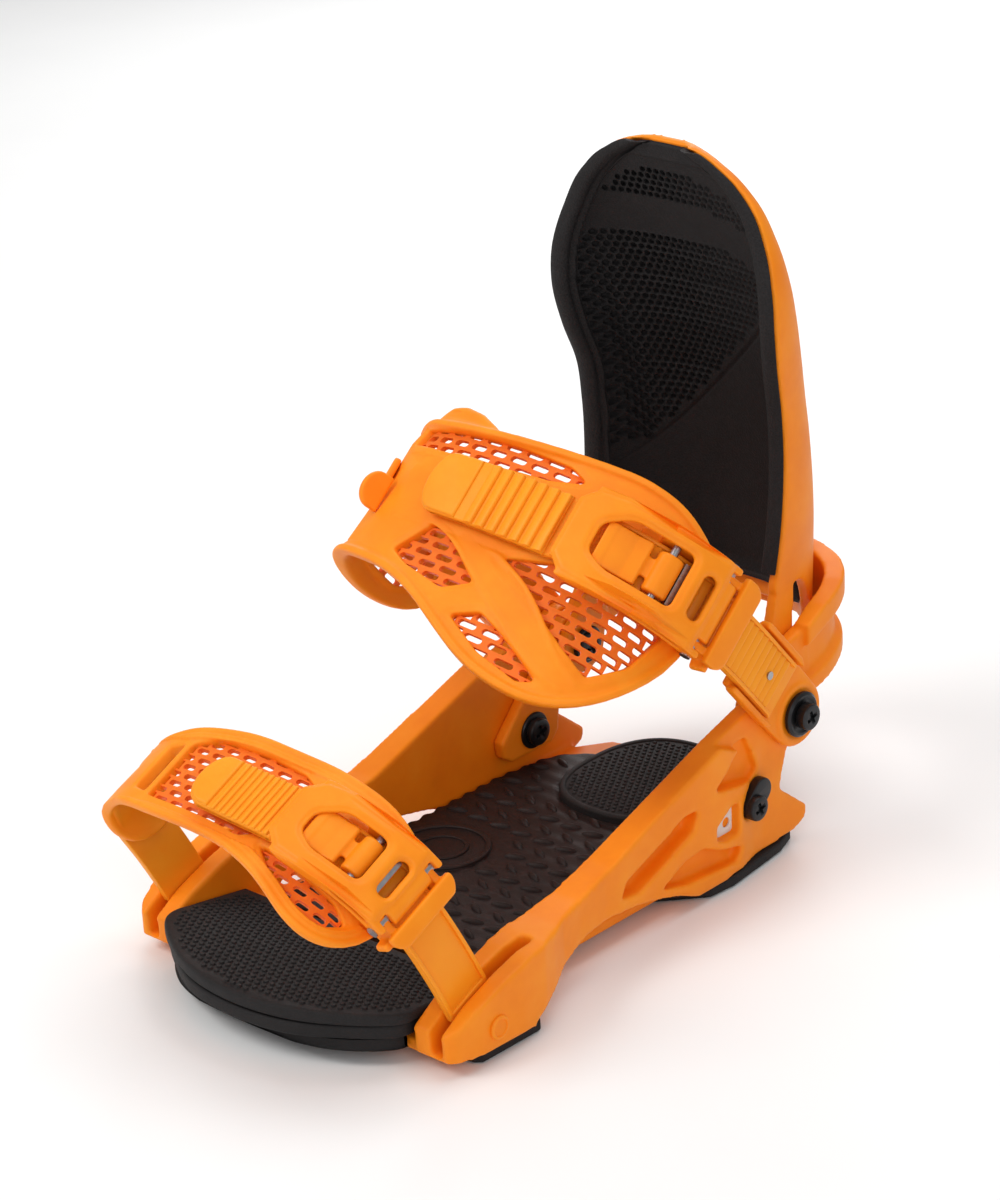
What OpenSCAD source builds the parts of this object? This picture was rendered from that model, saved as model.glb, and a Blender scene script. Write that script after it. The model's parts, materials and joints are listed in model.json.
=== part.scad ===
// Snowboard strap binding, right-hand frame, millimetres.
// Origin: centre of the mounting disc on the board plane. +X right, -Y toe, +Z up.
/* [Base] */
// inner face of each side rail
rail_in = 50; // [46:54]
// outer face of the rail at the heel screws
rail_out = 56; // [54:60]
// height of the pivot screw above the board
pivot_z = 53; // [45:60]
// distance of the pivot screw behind the disc centre
pivot_y = 103; // [90:115]
// diameter of the pivot screw shank
pivot_d = 6; // [5:8]
// floor thickness of the chassis
floor_t = 4.6; // [3:6]
/* [Disc] */
// outside diameter of the mounting disc
disc_d = 88; // [80:100]
// hole to hole distance of the board screws
disc_pitch = 40; // [40:40]
// board screw clearance hole
disc_hole = 6.5; // [6:7]
/* [Straps] */
// width of the ankle ladder
ank_w = 25; // [20:28]
// width of the toe ladder
toe_w = 19; // [16:22]
// ladder tooth pitch
tooth = 3.6; // [2:5]
// lean of the ankle strap forward of vertical, degrees
ank_lean = 41; // [30:55]
// lean of the toe strap forward of vertical, degrees
toe_lean = 25; // [10:35]
/* [Highback] */
// top of the highback above the board
hb_top = 251; // [220:270]
// shell thickness
hb_t = 4; // [3:5]
/* [Hidden] */
$fn = 40;
P = [pivot_y, pivot_z];
TP = [-74, 12];
orange = [0.97, 0.5, 0.1];
orange2 = [1, 0.6, 0.12];
black = [0.13, 0.12, 0.12];
steel = [0.7, 0.7, 0.72];

// ---- helpers ----
module both() { children(); mirror([1, 0, 0]) children(); }
// extrude a Y-Z profile between two X values
module side(x0, x1) {
  translate([x0, 0, 0]) rotate([90, 0, 90]) linear_extrude(x1 - x0) children();
}
module xcyl(x0, x1, r, y, z) {
  translate([x0, y, z]) rotate([0, 90, 0]) cylinder(r = r, h = x1 - x0);
}
function arc(cx, cy, r, a0, a1, n = 10) =
  [for (i = [0:n]) let (a = a0 + (a1 - a0) * i / n) [cx + r * cos(a), cy + r * sin(a)]];
// point on a smooth curve through control points p at parameter u
function cr(p, u) = let (n = len(p), i = min(floor(u), n - 2), f = u - i, b = p[i], c = p[i + 1],
  a = i > 0 ? p[i - 1] : 2 * b - c, d = i < n - 2 ? p[i + 2] : 2 * c - b)
  0.5 * (2 * b + (c - a) * f + (2 * a - 5 * b + 4 * c - d) * f * f
  + (3 * b - a - 3 * c + d) * f * f * f);
// table of arc length against parameter
function runs(p, m = 120) = let (k = (len(p) - 1) / m)
  [for (i = 0, l = 0; i <= m; l = l + norm(cr(p, (i + 1) * k > len(p) - 1 ? len(p) - 1 : (i + 1) * k)
  - cr(p, i * k)), i = i + 1) [l, i * k]];

// ---- strap paths: [x, distance from the swing axis], right end first ----
ank_path = [[61, 0], [61.3, 25], [61.2, 50], [58, 72], [50, 90], [36, 104], [18, 112], [0, 117],
  [-20, 120.5], [-42, 120.5], [-63, 114.5], [-76, 101], [-79.5, 81], [-74, 55], [-64, 28], [-61, 0]];
toe_path = [[66.5, 0], [66.3, 14], [65.3, 29], [62, 46], [54, 61], [42, 71], [22, 79], [0, 82],
  [-21, 84], [-43, 82], [-59, 74], [-72, 61], [-74, 47], [-69, 30], [-66.5, 14], [-66.5, 0]];
ank_run = runs(ank_path);
toe_run = runs(toe_path);
ank_len = ank_run[len(ank_run) - 1][0];
toe_len = toe_run[len(toe_run) - 1][0];
function pathpt(p, r, t, h) = let (u = lookup(t, r), a = cr(p, u),
  e = cr(p, min(u + 0.02, len(p) - 1)) - cr(p, max(u - 0.02, 0)), n = [e[1], -e[0]] / norm(e))
  a + n * h;
// flare of the pads away from the ladder line
function ss(x) = let (c = max(0, min(1, x))) c * c * (3 - 2 * c);
function flare(q, v) = 1 - 0.0025 * (max(v - 15, 0) - max(-v - 15, 0)) * ss((q - 35) / 45);
// put a strap built in (x, s, v) on its swing axis
module on_ankle() { translate([0, P[0], P[1]]) rotate([ank_lean, 0, 0]) children(); }
module on_toe() { translate([0, TP[0], TP[1]]) rotate([toe_lean, 0, 0]) children(); }
// band that follows a path, between lengths t0..t1, heights h0..h1 and widths v0..v1
// drop = [fall, from length, to length] lowers it smoothly towards its far end
module band(p, r, t0, t1, h0, h1, v0, v1, n = 24, drop = [0, 0, 1]) {
  function low(t) = drop[0] * ss((t - drop[1]) / (drop[2] - drop[1]));
  o = [for (i = [0:n]) let (t = t0 + (t1 - t0) * i / n) pathpt(p, r, t, h1 - low(t))];
  k = [for (i = [n:-1:0]) let (t = t0 + (t1 - t0) * i / n) pathpt(p, r, t, h0 - low(t))];
  translate([0, v1, 0]) rotate([90, 0, 0]) linear_extrude(v1 - v0) polygon(concat(o, k));
}
// band with saw teeth on its outer face
module ladder(p, r, t0, t1, ta, tb, h0, h1, v0, v1) {
  n = floor((tb - ta) / tooth);
  o = concat([for (i = [0:6]) pathpt(p, r, t0 + (ta - t0) * i / 6, h1)],
    [for (i = [0:n - 1]) for (k = [0, 1]) pathpt(p, r, ta + (i + k * 0.72 + 0.14) * tooth,
    h1 - (k == 0 ? 1.1 : 0))],
    [for (i = [1:3]) pathpt(p, r, tb + (t1 - tb) * i / 3, h1 - 0.2 * i)]);
  m = 44;
  k = [for (i = [m:-1:0]) pathpt(p, r, t0 + (t1 - t0) * i / m, h0)];
  translate([0, v1, 0]) rotate([90, 0, 0]) linear_extrude(v1 - v0) polygon(concat(o, k));
}
// closed skin over a grid: outer points first, then inner
module skin(o, k) {
  n = len(o);
  m = len(o[0]);
  pts = concat([for (a = o) for (b = a) b], [for (a = k) for (b = a) b]);
  q = n * m;
  f = concat(
    [for (i = [0:n - 2]) for (j = [0:m - 2]) for (s = [0, 1])
      let (a = i * m + j) s == 0 ? [a, a + 1, a + m] : [a + 1, a + m + 1, a + m]],
    [for (i = [0:n - 2]) for (j = [0:m - 2]) for (s = [0, 1])
      let (a = q + i * m + j) s == 0 ? [a, a + m, a + 1] : [a + 1, a + m, a + m + 1]],
    [for (i = [0:n - 2]) for (e = [0, 1]) for (s = [0, 1])
      let (a = i * m + (e == 0 ? 0 : m - 1), b = a + m)
      e == 0 ? (s == 0 ? [a, b, a + q] : [b, b + q, a + q])
      : (s == 0 ? [a, a + q, b] : [b, a + q, b + q])],
    [for (j = [0:m - 2]) for (e = [0, 1]) for (s = [0, 1])
      let (a = (e == 0 ? 0 : (n - 1) * m) + j, b = a + 1)
      e == 0 ? (s == 0 ? [a, a + q, b] : [b, a + q, b + q])
      : (s == 0 ? [a, b, a + q] : [b, b + q, a + q])]);
  polyhedron(points = pts, faces = f, convexity = 8);
}
module pad_skin(p, r, lo, hi, t0, t1, h0, h1, n, m) {
  t = [for (i = [0:n]) t0 + (t1 - t0) * i / n];
  function at(i, j, h) = let (a = lookup(t[i], lo), b = lookup(t[i], hi), v = a + (b - a) * j / m,
    q = pathpt(p, r, t[i], h), f = flare(q[1], v)) [q[0] * f, v, q[1] * (1 + (f - 1) * 0.6)];
  skin([for (i = [0:n]) [for (j = [0:m]) at(i, j, h1)]],
    [for (i = [0:n]) [for (j = [0:m]) at(i, j, h0)]]);
}

// ---- chassis ----
rail_side = concat([[-94, 5], [-94.5, 15], [-84, 21.5], [-70, 27], [-58, 30.5], [-48, 31.5],
  [-36, 30.5], [-20, 31], [0, 35], [30, 45.5], [60, 56], [80, 62]],
  arc(P[0], P[1], 12.5, 118, -30, 14),
  [[106, 41], [101, 39], [98, 30], [97, 24.5], [104, 19], [112, 12.5], [111, 8], [104, 5],
  [63, 4], [46, 4], [37, 8], [27, 11.5], [13, 14.5], [-2, 16.5], [-15, 16.5], [-29, 13.6],
  [-42, 10.5], [-50, 8], [-56, 4]]);
rail_plan = [[-95, 57], [-95, 71], [-91, 74.5], [-82, 76], [-62, 76.5], [-50, 75.5], [-42, 72.5],
  [-32, 67.5], [-20, 64.3], [-4, 62], [20, 61], [45, 60.6], [62, 60.3], [72, 59.3], [80, 57],
  [86, rail_out], [118, rail_out], [118, rail_in], [0, rail_in], [-25, 52], [-42, 54.5], [-60, 57]];
index_window = [[57, 21], [57, 26], [64, 30.5], [70, 31], [70, 19], [62, 18.8]];
module rail() {
  difference() {
    intersection() {
      side(40, 90) polygon(rail_side);
      linear_extrude(90) polygon([for (q = rail_plan) [q[1], q[0]]]);
    }
    // arched strap slot in the tower
    side(64.2, 68.9) polygon([[-95.5, 6.1], [-95.5, 40], [-48, 40], [-49, 26], [-53, 16], [-60, 9],
      [-66, 6.1]]);
    xcyl(60, 80, 3.05, TP[0], TP[1]);
    // lightening pockets between the ribs
    side(54, 70) polygon([[4, 20.5], [14, 19], [44, 30], [47, 37], [40, 37.5], [8, 26]]);
    side(53, 70) polygon([[56, 40], [80, 35], [84, 38], [78, 52], [72, 52]]);
    side(55, 70) polygon([[26, 15], [40, 11], [68, 8.5], [72, 13], [58, 17], [50, 21], [40, 20.5]]);
    // window in front of the lower hoop screw, with the index plate at the bottom of it
    side(55.2, 70) polygon(index_window);
    xcyl(49, 70, 3.3, 78, 26);
    xcyl(49, 70, pivot_d / 2 + 0.05, P[0], P[1]);
    // seat of the bracket, and room for the swinging ankle connector
    side(56.1, 70) polygon(concat(arc(82.6, 30.6, 5.1, 135, -45, 8), arc(78, 26, 5.1, -45, -225, 8)));
    side(56.1, 70) polygon([[56, 56], [58, 56.6], [96.6, 38.9], [100, 38.5], [100, 80], [56, 80]]);
  }
}
module rail_right() { color(orange) rail(); }
module rail_left() { color(orange) mirror([1, 0, 0]) rail(); }
module baseplate() {
  color(orange) difference() {
    union() {
      translate([0, 0, 4]) linear_extrude(floor_t) polygon([[-58, -86], [-50, -90], [50, -90],
        [58, -86], [58, -50], [51, -20], [51, 100], [40, 116], [20, 121], [-20, 121], [-40, 116],
        [-51, 100], [-51, -20], [-58, -50]]);
      // sloping front tongues beside the towers
      both() side(38, 60) polygon([[-92, 4], [-92, 8], [-72, 11], [-60, 8.7], [-60, 4]]);
    }
    translate([0, 0, 3]) cylinder(d = disc_d - 7.4, h = 8, $fn = 80);
    translate([0, 0, 6.3]) cylinder(d = disc_d + 0.6, h = 8, $fn = 80);
    translate([-30, -84, 3]) cube([60, 22, 8]);
    both() intersection() {
      side(40, 90) polygon(rail_side);
      linear_extrude(90) polygon([for (q = rail_plan) [q[1], q[0]]]);
    }
  }
}
module base_pad_front_right() {
  color(black) linear_extrude(3.9) polygon([[38, -85.5], [71, -81.5], [73.5, -79], [74, -52],
    [70, -48], [62, -50], [46, -57], [38, -66]]);
}
module base_pad_front_left() { color(black) mirror([1, 0, 0]) linear_extrude(3.9)
  polygon([[38, -85.5], [71, -81.5], [73.5, -79], [74, -52], [70, -48], [62, -50], [46, -57],
  [38, -66]]); }
module base_pad_rear_right() {
  color(black) linear_extrude(3.9) polygon([[44, 37], [50, 44], [59, 54], [60, 66], [56.5, 96],
    [53, 106], [40, 113], [34, 108], [42, 92], [45, 60]]);
}
module base_pad_rear_left() { color(black) mirror([1, 0, 0]) linear_extrude(3.9)
  polygon([[44, 37], [50, 44], [59, 54], [60, 66], [56.5, 96], [53, 106], [40, 113], [34, 108],
  [42, 92], [45, 60]]); }
module centre_footbed() {
  color([0.16, 0.11, 0.1]) translate([0, 0, 9.3]) linear_extrude(3.2) polygon([[-46, -56],
    [46, -56], [48, -40], [48.5, 0], [48.5, 62], [46.5, 80], [41, 92], [31, 99], [31, 66], [24, 66],
    [-24, 66], [-31, 66], [-31, 99], [-41, 92], [-46.5, 80], [-48.5, 62], [-48.5, 0], [-48, -40]]);
}
module heel_footbed() {
  color(black) difference() {
    translate([0, 0, 9]) linear_extrude(5.6) polygon([for (i = [0:35]) let (a = i * 10,
      c = cos(a), s = sin(a)) [29 * sign(c) * pow(abs(c), 0.8), 91 + 33 * sign(s)
      * pow(abs(s), 0.8)]]);
    translate([-50, 50, 8]) cube([100, 17, 4.8]);
  }
}
module toe_ramp() {
  color(black) difference() {
    side(-54, 54) polygon([[-119, 9.3], [-116, 6], [-94, 5.2], [-93, 9.3], [-61, 9.3], [-61, 12.5],
      [-90, 15.8], [-119, 16.5]]);
    both() linear_extrude(40) polygon([[54, -125], [54, -99], [38, -111], [20, -120], [0, -122.5],
      [0, -130]]);
    both() translate([37, -96, 3]) cube([24, 40, 8.2]);
  }
}
module toe_footbed() {
  color(black) intersection() {
    side(-56, 56) polygon([[-122, 16.7], [-90, 16], [-59, 12.7], [-59, 14.4], [-90, 19.2],
      [-118, 20.4], [-122, 19]]);
    linear_extrude(40) polygon([[-55.5, -59], [-56, -84], [-55, -98], [-38, -111], [-20, -118.5],
      [0, -121], [20, -118.5], [38, -111], [55, -98], [56, -84], [55.5, -59]]);
  }
}
module mounting_disc() {
  color(black) difference() {
    union() {
      cylinder(d = disc_d - 8, h = 8.6, $fn = 80);
      translate([0, 0, 6.5]) linear_extrude(2.3) polygon([for (i = [0:143]) let (a = i * 2.5,
        r = disc_d / 2 - (i % 2) * 1.1) [r * cos(a), r * sin(a)]]);
    }
    translate([0, 0, 5.8]) cylinder(d = 24, h = 5);
    for (x = [-1, 1]) for (y = [-1, 1]) translate([x, y, 0] * disc_pitch / 2) {
      translate([0, 0, -1]) cylinder(d = disc_hole, h = 12);
      translate([0, 0, 4.6]) cylinder(d = 13, h = 6);
    }
    translate([0, 0, -1]) cylinder(d = 9, h = 12);
    for (a = [45:90:315]) rotate(a) translate([14, -2, 5.8]) cube([4, 4, 5]);
  }
}

// ---- heel hoop: arms inside the rails, U behind the heel ----
hoop_arm = concat([[61, 26], [62, 20], [66, 17], [88, 17], [92, 21], [93, 30], [98, 38]],
  arc(P[0], P[1], 12, -75, -20, 4), [[122, 52], [122, 78], [110, 74]],
  arc(P[0], P[1], 12, 90, 150, 4), [[86, 50], [74, 40]]);
function hoop_r(y, w, b) = [for (i = [0:24]) let (a = i * 7.5, c = cos(a), s = sin(a))
  [w * sign(c) * pow(abs(c), 0.78), y + (b - y) * pow(abs(s), 0.78)]];
module hoop_u(w0, b0, w1, b1) {
  o = hoop_r(118, w1, b1);
  k = hoop_r(118, w0, b0);
  linear_extrude(200) polygon(concat(o, [for (i = [24:-1:0]) k[i]]));
}
module heel_hoop() {
  color(orange) difference() {
    union() {
      both() side(44.6, 49.7) polygon(hoop_arm);
      intersection() {
        hoop_u(46.4, 158, 49.7, 162);
        side(-60, 60) polygon([[117, 52], [126, 54], [140, 58], [170, 64], [170, 90], [140, 87],
          [126, 84], [117, 79]]);
      }
      intersection() {
        hoop_u(46, 157.6, 53, 165);
        side(-60, 60) polygon([[118, 72], [118, 78], [126, 83.5], [140, 87.5], [170, 90.5],
          [170, 82.5], [140, 79.5], [126, 76]]);
      }
      intersection() {
        hoop_u(46, 157.6, 52, 164.5);
        side(-60, 60) polygon([[118, 52.5], [118, 57], [126, 59], [140, 62.5], [170, 69],
          [170, 63], [140, 57], [126, 53]]);
      }
    }
    both() xcyl(40, 60, pivot_d / 2 + 0.05, P[0], P[1]);
    both() xcyl(40, 60, 3.3, 78, 26);
  }
}
module index_plates() {
  color([0.9, 0.9, 0.88]) both() difference() {
    side(55.25, 56) polygon([[57.4, 21.2], [57.4, 25.7], [64.1, 30.1], [69.7, 30.6], [69.7, 19.3],
      [62.2, 19.2]]);
    xcyl(50, 60, 1.9, 66.5, 23.5);
  }
}
module hoop_screws() {
  color(black) both() {
    xcyl(43.0, 62.2, 2.9, 78, 26);
    xcyl(59.4, 62.4, 4.6, 78, 26);
  }
}
module hoop_brackets() {
  color(black) both() difference() {
    side(56.4, 59.2) polygon(concat(arc(82.6, 30.6, 4.7, 135, -45, 8),
      arc(78, 26, 4.7, -45, -225, 8)));
    xcyl(50, 70, 3.1, 78, 26);
  }
}
module hoop_nuts() {
  color(black) both() difference() {
    xcyl(40.6, 44.4, 7, 78, 26);
    xcyl(42.6, 46, 3.1, 78, 26);
  }
}
module pivot_screws() {
  color(black) both() difference() {
    union() {
      xcyl(37.2, 65, pivot_d / 2, P[0], P[1]);
      xcyl(62.4, 66.2, 4.7, P[0], P[1]);
    }
    translate([64.6, P[0] - 0.8, P[1] - 2.6]) cube([3, 1.6, 5.2]);
    translate([64.6, P[0] - 2.6, P[1] - 0.8]) cube([3, 5.2, 1.6]);
  }
}
module pivot_washers() {
  color(black) both() difference() {
    xcyl(60, 62.3, 8.2, P[0], P[1]);
    xcyl(59, 64, pivot_d / 2 + 0.05, P[0], P[1]);
  }
}
module pivot_nuts() {
  color(black) both() difference() {
    xcyl(36.4, 39.4, 7.2, P[0], P[1]);
    xcyl(37.1, 40, pivot_d / 2 + 0.1, P[0], P[1]);
  }
}

// ---- highback ----
hb_half = [[42, 43.6], [70, 43.8], [92, 44.6], [115, 46], [145, 47], [160, 47.6], [175, 49.8],
  [190, 51.2], [205, 50.4], [220, 46], [235, 37.5], [244, 27], [250, 14], [251, 10]];
hb_front = [[42, 106], [70, 108], [92, 110], [115, 113], [145, 114], [160, 112.5], [175, 108],
  [190, 105], [205, 105], [220, 107], [235, 108], [251, 107]];
hb_back = [[42, 157.4], [70, 157.2], [92, 156.6], [115, 154], [145, 148.5], [175, 141],
  [205, 132], [225, 124.5], [240, 118.5], [251, 113.5]];
function hbp(u, z, t) = let (w = lookup(z, hb_half) - t, a = u * 90, e = 0.82,
  s = sin(abs(a)), c = cos(a), y0 = lookup(z, hb_front),
  y1 = max(lookup(z, hb_back) - t, y0 + 1.5))
  [w * sign(u) * pow(s, e), y0 + (y1 - y0) * pow(max(c, 0), e), z];
function hb_low(u) = 66 + 26.4 * ss((abs(u) - 0.45) / 0.4);
// grid over one half of the shell: s = 1 right, s = -1 left
function hb_grid(s, t, u1, z1, n, m, up = 0) = [for (i = [0:n]) [for (j = [0:m])
  let (u = s > 0 ? u1 * (1 - j / m) : -u1 * j / m, z0 = hb_low(u) + up,
  z = z0 + (z1 - z0) * i / n) hbp(u, z, t)]];
hb_ear = concat(arc(P[0], P[1], 11.5, -150, -20, 8), [[116, 64], [121, 76], [121, 92],
  [112.5, 92], [108, 78]], arc(P[0], P[1], 11.5, 120, 180, 4));
module hb_shell(s) {
  color(orange) skin(hb_grid(s, 0, 1, hb_top, 18, 12), hb_grid(s, hb_t, 1, hb_top - 1, 18, 12));
}
module highback_right() { hb_shell(1); }
module highback_left() { hb_shell(-1); }
module highback_ears() {
  color(orange) both() difference() {
    side(39.9, 44.2) polygon(hb_ear);
    xcyl(36, 50, pivot_d / 2 + 0.06, P[0], P[1]);
  }
}
module hb_pad(s) {
  color(black) skin(hb_grid(s, hb_t + 0.4, 0.94, hb_top - 3, 16, 10, 6),
    hb_grid(s, hb_t + 4.2, 0.94, hb_top - 6, 16, 10, 6));
}
module highback_pad_right() { hb_pad(1); }
module highback_pad_left() { hb_pad(-1); }
module lean_track() {
  color(orange) side(-5, 5) polygon([[157.6, 92], [162.5, 93], [158, 130], [151.5, 130],
    [155, 112]]);
}
module lean_block() {
  color(black) difference() {
    union() {
      side(-13, 13) polygon([[159.4, 91.2], [166, 91.2], [165.8, 104], [160.5, 106]]);
      for (x = [-13, 9.5]) side(x, x + 3.5) polygon([[165, 95], [171.6, 97.6], [171.6, 102.4],
        [165, 104]]);
    }
    side(-5.4, 5.4) polygon([[150, 90], [162.9, 90], [161.9, 110], [150, 110]]);
    xcyl(-20, 20, 1.26, 169.4, 100);
  }
}
module lean_lever() {
  color(orange) difference() {
    side(-9, 9) polygon(concat(arc(169.6, 100, 3.2, 60, 220, 8), [[167.2, 86], [169.8, 86]]));
    xcyl(-30, 30, 1.3, 169.4, 100);
  }
}
module lean_pin() {
  color(steel) xcyl(-12.6, 12.6, 1.25, 169.4, 100);
}

// ---- ankle strap ----
ank_lo = [[66, -12], [72, -24], [80, -36], [90, -48], [100, -56], [112, -61], [124, -61],
  [140, -57], [155, -49], [170, -41], [185, -36], [200, -34.5], [213, -34], [228, -36], [246, -37],
  [262, -35], [272, -32], [280, -24], [284, -15]];
ank_hi = [[66, 13], [74, 18], [84, 23], [96, 28], [110, 30], [140, 29], [170, 27], [200, 26],
  [213, 26], [222, 26], [235, 24], [250, 20], [265, 14], [276, 8], [284, 2]];
ank_drop = [2.2, 100, 127];
toe_drop = [2, 80, 101];
module ank_band(t0, t1, h0, h1, v0, v1, n = 24, drop = [0, 0, 1]) {
  on_ankle() band(ank_path, ank_run, t0, t1, h0, h1, v0, v1, n, drop);
}
module toe_band(t0, t1, h0, h1, v0, v1, n = 24, drop = [0, 0, 1]) {
  on_toe() band(toe_path, toe_run, t0, t1, h0, h1, v0, v1, n, drop);
}
module connector(s1) {
  difference() {
    union() {
      translate([56.4, 0, 0]) rotate([90, 0, 90]) linear_extrude(3.1) polygon(concat(
        arc(0, 0, 12.5, 180, 360, 14), [[13, 18], [12.6, s1], [-12.6, s1], [-13, 18]]));
      for (y = [-1, 1]) translate([59.4, y * 13.2 - 1.2, 16]) cube([3.6, 2.4, s1 - 16]);
    }
    translate([50, 0, 0]) rotate([0, 90, 0]) cylinder(r = pivot_d / 2 + 0.06, h = 20);
    translate([50, 0, 30]) rotate([0, 90, 0]) cylinder(r = 1.55, h = 20);
  }
}
module ankle_connector_right() { color(orange) on_ankle() connector(44); }
module ankle_connector_left() { color(orange) on_ankle() mirror([1, 0, 0]) connector(44); }
module ankle_ladder() {
  color(orange2) difference() {
    on_ankle() ladder(ank_path, ank_run, 17, 188, 44, 182, -1.45, 1.7, -10.8, 10.8);
    on_ankle() translate([50, 0, 30]) rotate([0, 90, 0]) cylinder(r = 1.55, h = 20);
  }
}
module ankle_ladder_pin() {
  color(steel) on_ankle() both() translate([56.6, 0, 30]) rotate([0, 90, 0])
    cylinder(r = 1.5, h = 6.8);
}
module ankle_pad() {
  color(orange) on_ankle() pad_skin(ank_path, ank_run, ank_lo, ank_hi, 66, 284, -8, -4.1, 48, 10);
}
module ankle_tail() {
  color(orange) difference() {
    ank_band(240, ank_len - 17, -1.45, 1.6, -10.8, 10.8);
    on_ankle() translate([-70, 0, 30]) rotate([0, 90, 0]) cylinder(r = 1.55, h = 20);
  }
}
module ankle_adjuster() {
  color(orange) difference() {
    on_ankle() {
      band(ank_path, ank_run, 218, 246, -4.05, -1.6, -9, 9, 8);
      band(ank_path, ank_run, 213, 219, -4.05, 5.5, -14, 0, 4);
    }
  }
}
module ankle_buckle_base() {
  color(orange) difference() {
   union() {
    ank_band(64, 108, -3.9, -2.1, -14.6, 14.6, 14);
    ank_band(62, 100, -3.9, 7.2, -14.6, -11.4, 12);
    ank_band(62, 100, -3.9, 7.2, 11.4, 14.6, 12);
    ank_band(61, 68.8, 7.2, 9.8, -16.6, 16.6, 6);
   }
    on_ankle() { ank_pin(0, 2.01, 40); ank_pin(1, 1.51, 40); }
  }
}
module ankle_lever() {
  color(orange) difference() {
    union() {
      ank_band(76.4, 129.5, 7.6, 10.2, -17.8, 17.8, 22, ank_drop);
      ank_band(73, 125, 2.4, 7.8, -17.8, -15.0, 20, ank_drop);
      ank_band(73, 125, 2.4, 7.8, 15.0, 17.8, 20, ank_drop);
    }
    ank_band(89.4, 118.5, 4, 12, -9.2, 11, 10);
    ank_band(78.5, 83.5, 6, 12, -8, 8, 4);
    on_ankle() ank_pin(0, 2.06, 40);
  }
}
function ank_at(t, h) = pathpt(ank_path, ank_run, t, h);
function toe_at(t, h) = pathpt(toe_path, toe_run, t, h);
// pin across the strap at the lever axis (which = 0) or the release axis (1)
module ank_pin(which, r, w) {
  a = which == 0 ? ank_at(75, 5) : ank_at(95, 5);
  translate([a[0], w / 2, a[1]]) rotate([90, 0, 0]) cylinder(r = r, h = w);
}
module toe_pin(which, r, w) {
  a = which == 0 ? toe_at(58, 4.6) : toe_at(73, 4.6);
  translate([a[0], w / 2, a[1]]) rotate([90, 0, 0]) cylinder(r = r, h = w);
}
module ankle_release() {
  color(orange) difference() {
    union() {
      ank_band(99, 116.5, 4.0, 5.8, -8.2, 8.2, 8);
      ank_band(90.6, 100, 3.0, 8.2, -8.2, 8.2, 4);
    }
    on_ankle() ank_pin(1, 1.56, 40);
  }
}
module ankle_lever_pin() { color(steel) on_ankle() ank_pin(0, 2, 36.4); }
module ankle_release_pin() { color(steel) on_ankle() ank_pin(1, 1.5, 29); }
module ankle_pawl() { color(steel) ank_band(84, 90.5, 2.1, 6.2, -8, 8, 3); }

// ---- toe strap ----
toe_lo = [[50, -10], [55, -19], [62, -26], [72, -30], [84, -29], [96, -24], [108, -20],
  [122, -17], [140, -17], [155, -17], [168, -16], [182, -14], [200, -13], [213, -13],
  [224, -11.5], [231, -8]];
toe_hi = [[50, 13], [58, 18], [68, 22], [80, 25], [95, 26], [115, 26], [140, 25], [152, 23],
  [165, 20], [176, 16], [190, 14.5], [206, 15], [222, 15], [231, 11.5]];
module toe_ladder() {
  color(orange2) difference() {
    union() {
      on_toe() ladder(toe_path, toe_run, 8, 141, 60, 137, -1.4, 1.6, -9.5, 9.5);
      on_toe() band(toe_path, toe_run, 0, 9, -1.4, 1.6, -5.5, 5.5, 3);
      xcyl(65.2, 68, 5.5, TP[0], TP[1]);
    }
    xcyl(60, 80, 3.06, TP[0], TP[1]);
  }
}
module toe_pad() {
  color(orange) on_toe() pad_skin(toe_path, toe_run, toe_lo, toe_hi, 50, 231, -7.4, -3.9, 44, 8);
}
module toe_tail() {
  color(orange2) difference() {
    union() {
      toe_band(205, toe_len - 8, -1.4, 1.6, -9.5, 9.5, 20);
      toe_band(toe_len - 9, toe_len, -1.4, 1.6, -5.5, 5.5, 3);
      xcyl(-68, -65.2, 5.5, TP[0], TP[1]);
    }
    xcyl(-80, -60, 3.06, TP[0], TP[1]);
  }
}
module toe_buckle_base() {
  color(orange) difference() {
    union() {
      toe_band(50, 88, -3.7, -2.0, -13.2, 13.2, 12);
      toe_band(48, 79, -3.7, 6.6, -13.2, -10.1, 9);
      toe_band(48, 79, -3.7, 6.6, 10.1, 13.2, 9);
      toe_band(47, 52.2, 6.6, 9.0, -15.2, 15.2, 4);
    }
    on_toe() { toe_pin(0, 2.01, 40); toe_pin(1, 1.51, 40); }
  }
}
module toe_lever() {
  color(orange) difference() {
    union() {
      toe_band(59.3, 102.5, 7.0, 9.4, -16.2, 16.2, 18, toe_drop);
      toe_band(56, 98, 2.2, 7.2, -16.2, -13.6, 16, toe_drop);
      toe_band(56, 98, 2.2, 7.2, 13.6, 16.2, 16, toe_drop);
    }
    toe_band(69.4, 94, 4, 12, -8.6, 8.6, 8);
    toe_band(61, 65, 5, 12, -7, 7, 4);
    on_toe() toe_pin(0, 2.06, 40);
  }
}
module toe_release() {
  color(orange) difference() {
    union() {
      toe_band(76, 92.5, 3.6, 5.2, -7.6, 7.6, 8);
      toe_band(70.4, 78, 2.8, 7.4, -7.6, 7.6, 4);
    }
    on_toe() toe_pin(1, 1.56, 40);
  }
}
module toe_lever_pin() { color(steel) on_toe() toe_pin(0, 2, 33); }
module toe_release_pin() { color(steel) on_toe() toe_pin(1, 1.5, 26.2); }
module toe_pawl() { color(steel) toe_band(64.4, 70.3, 2.0, 5.6, -7, 7, 3); }
module tower_pins() { color(steel) both() xcyl(61, 75, 3, TP[0], TP[1]); }

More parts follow.
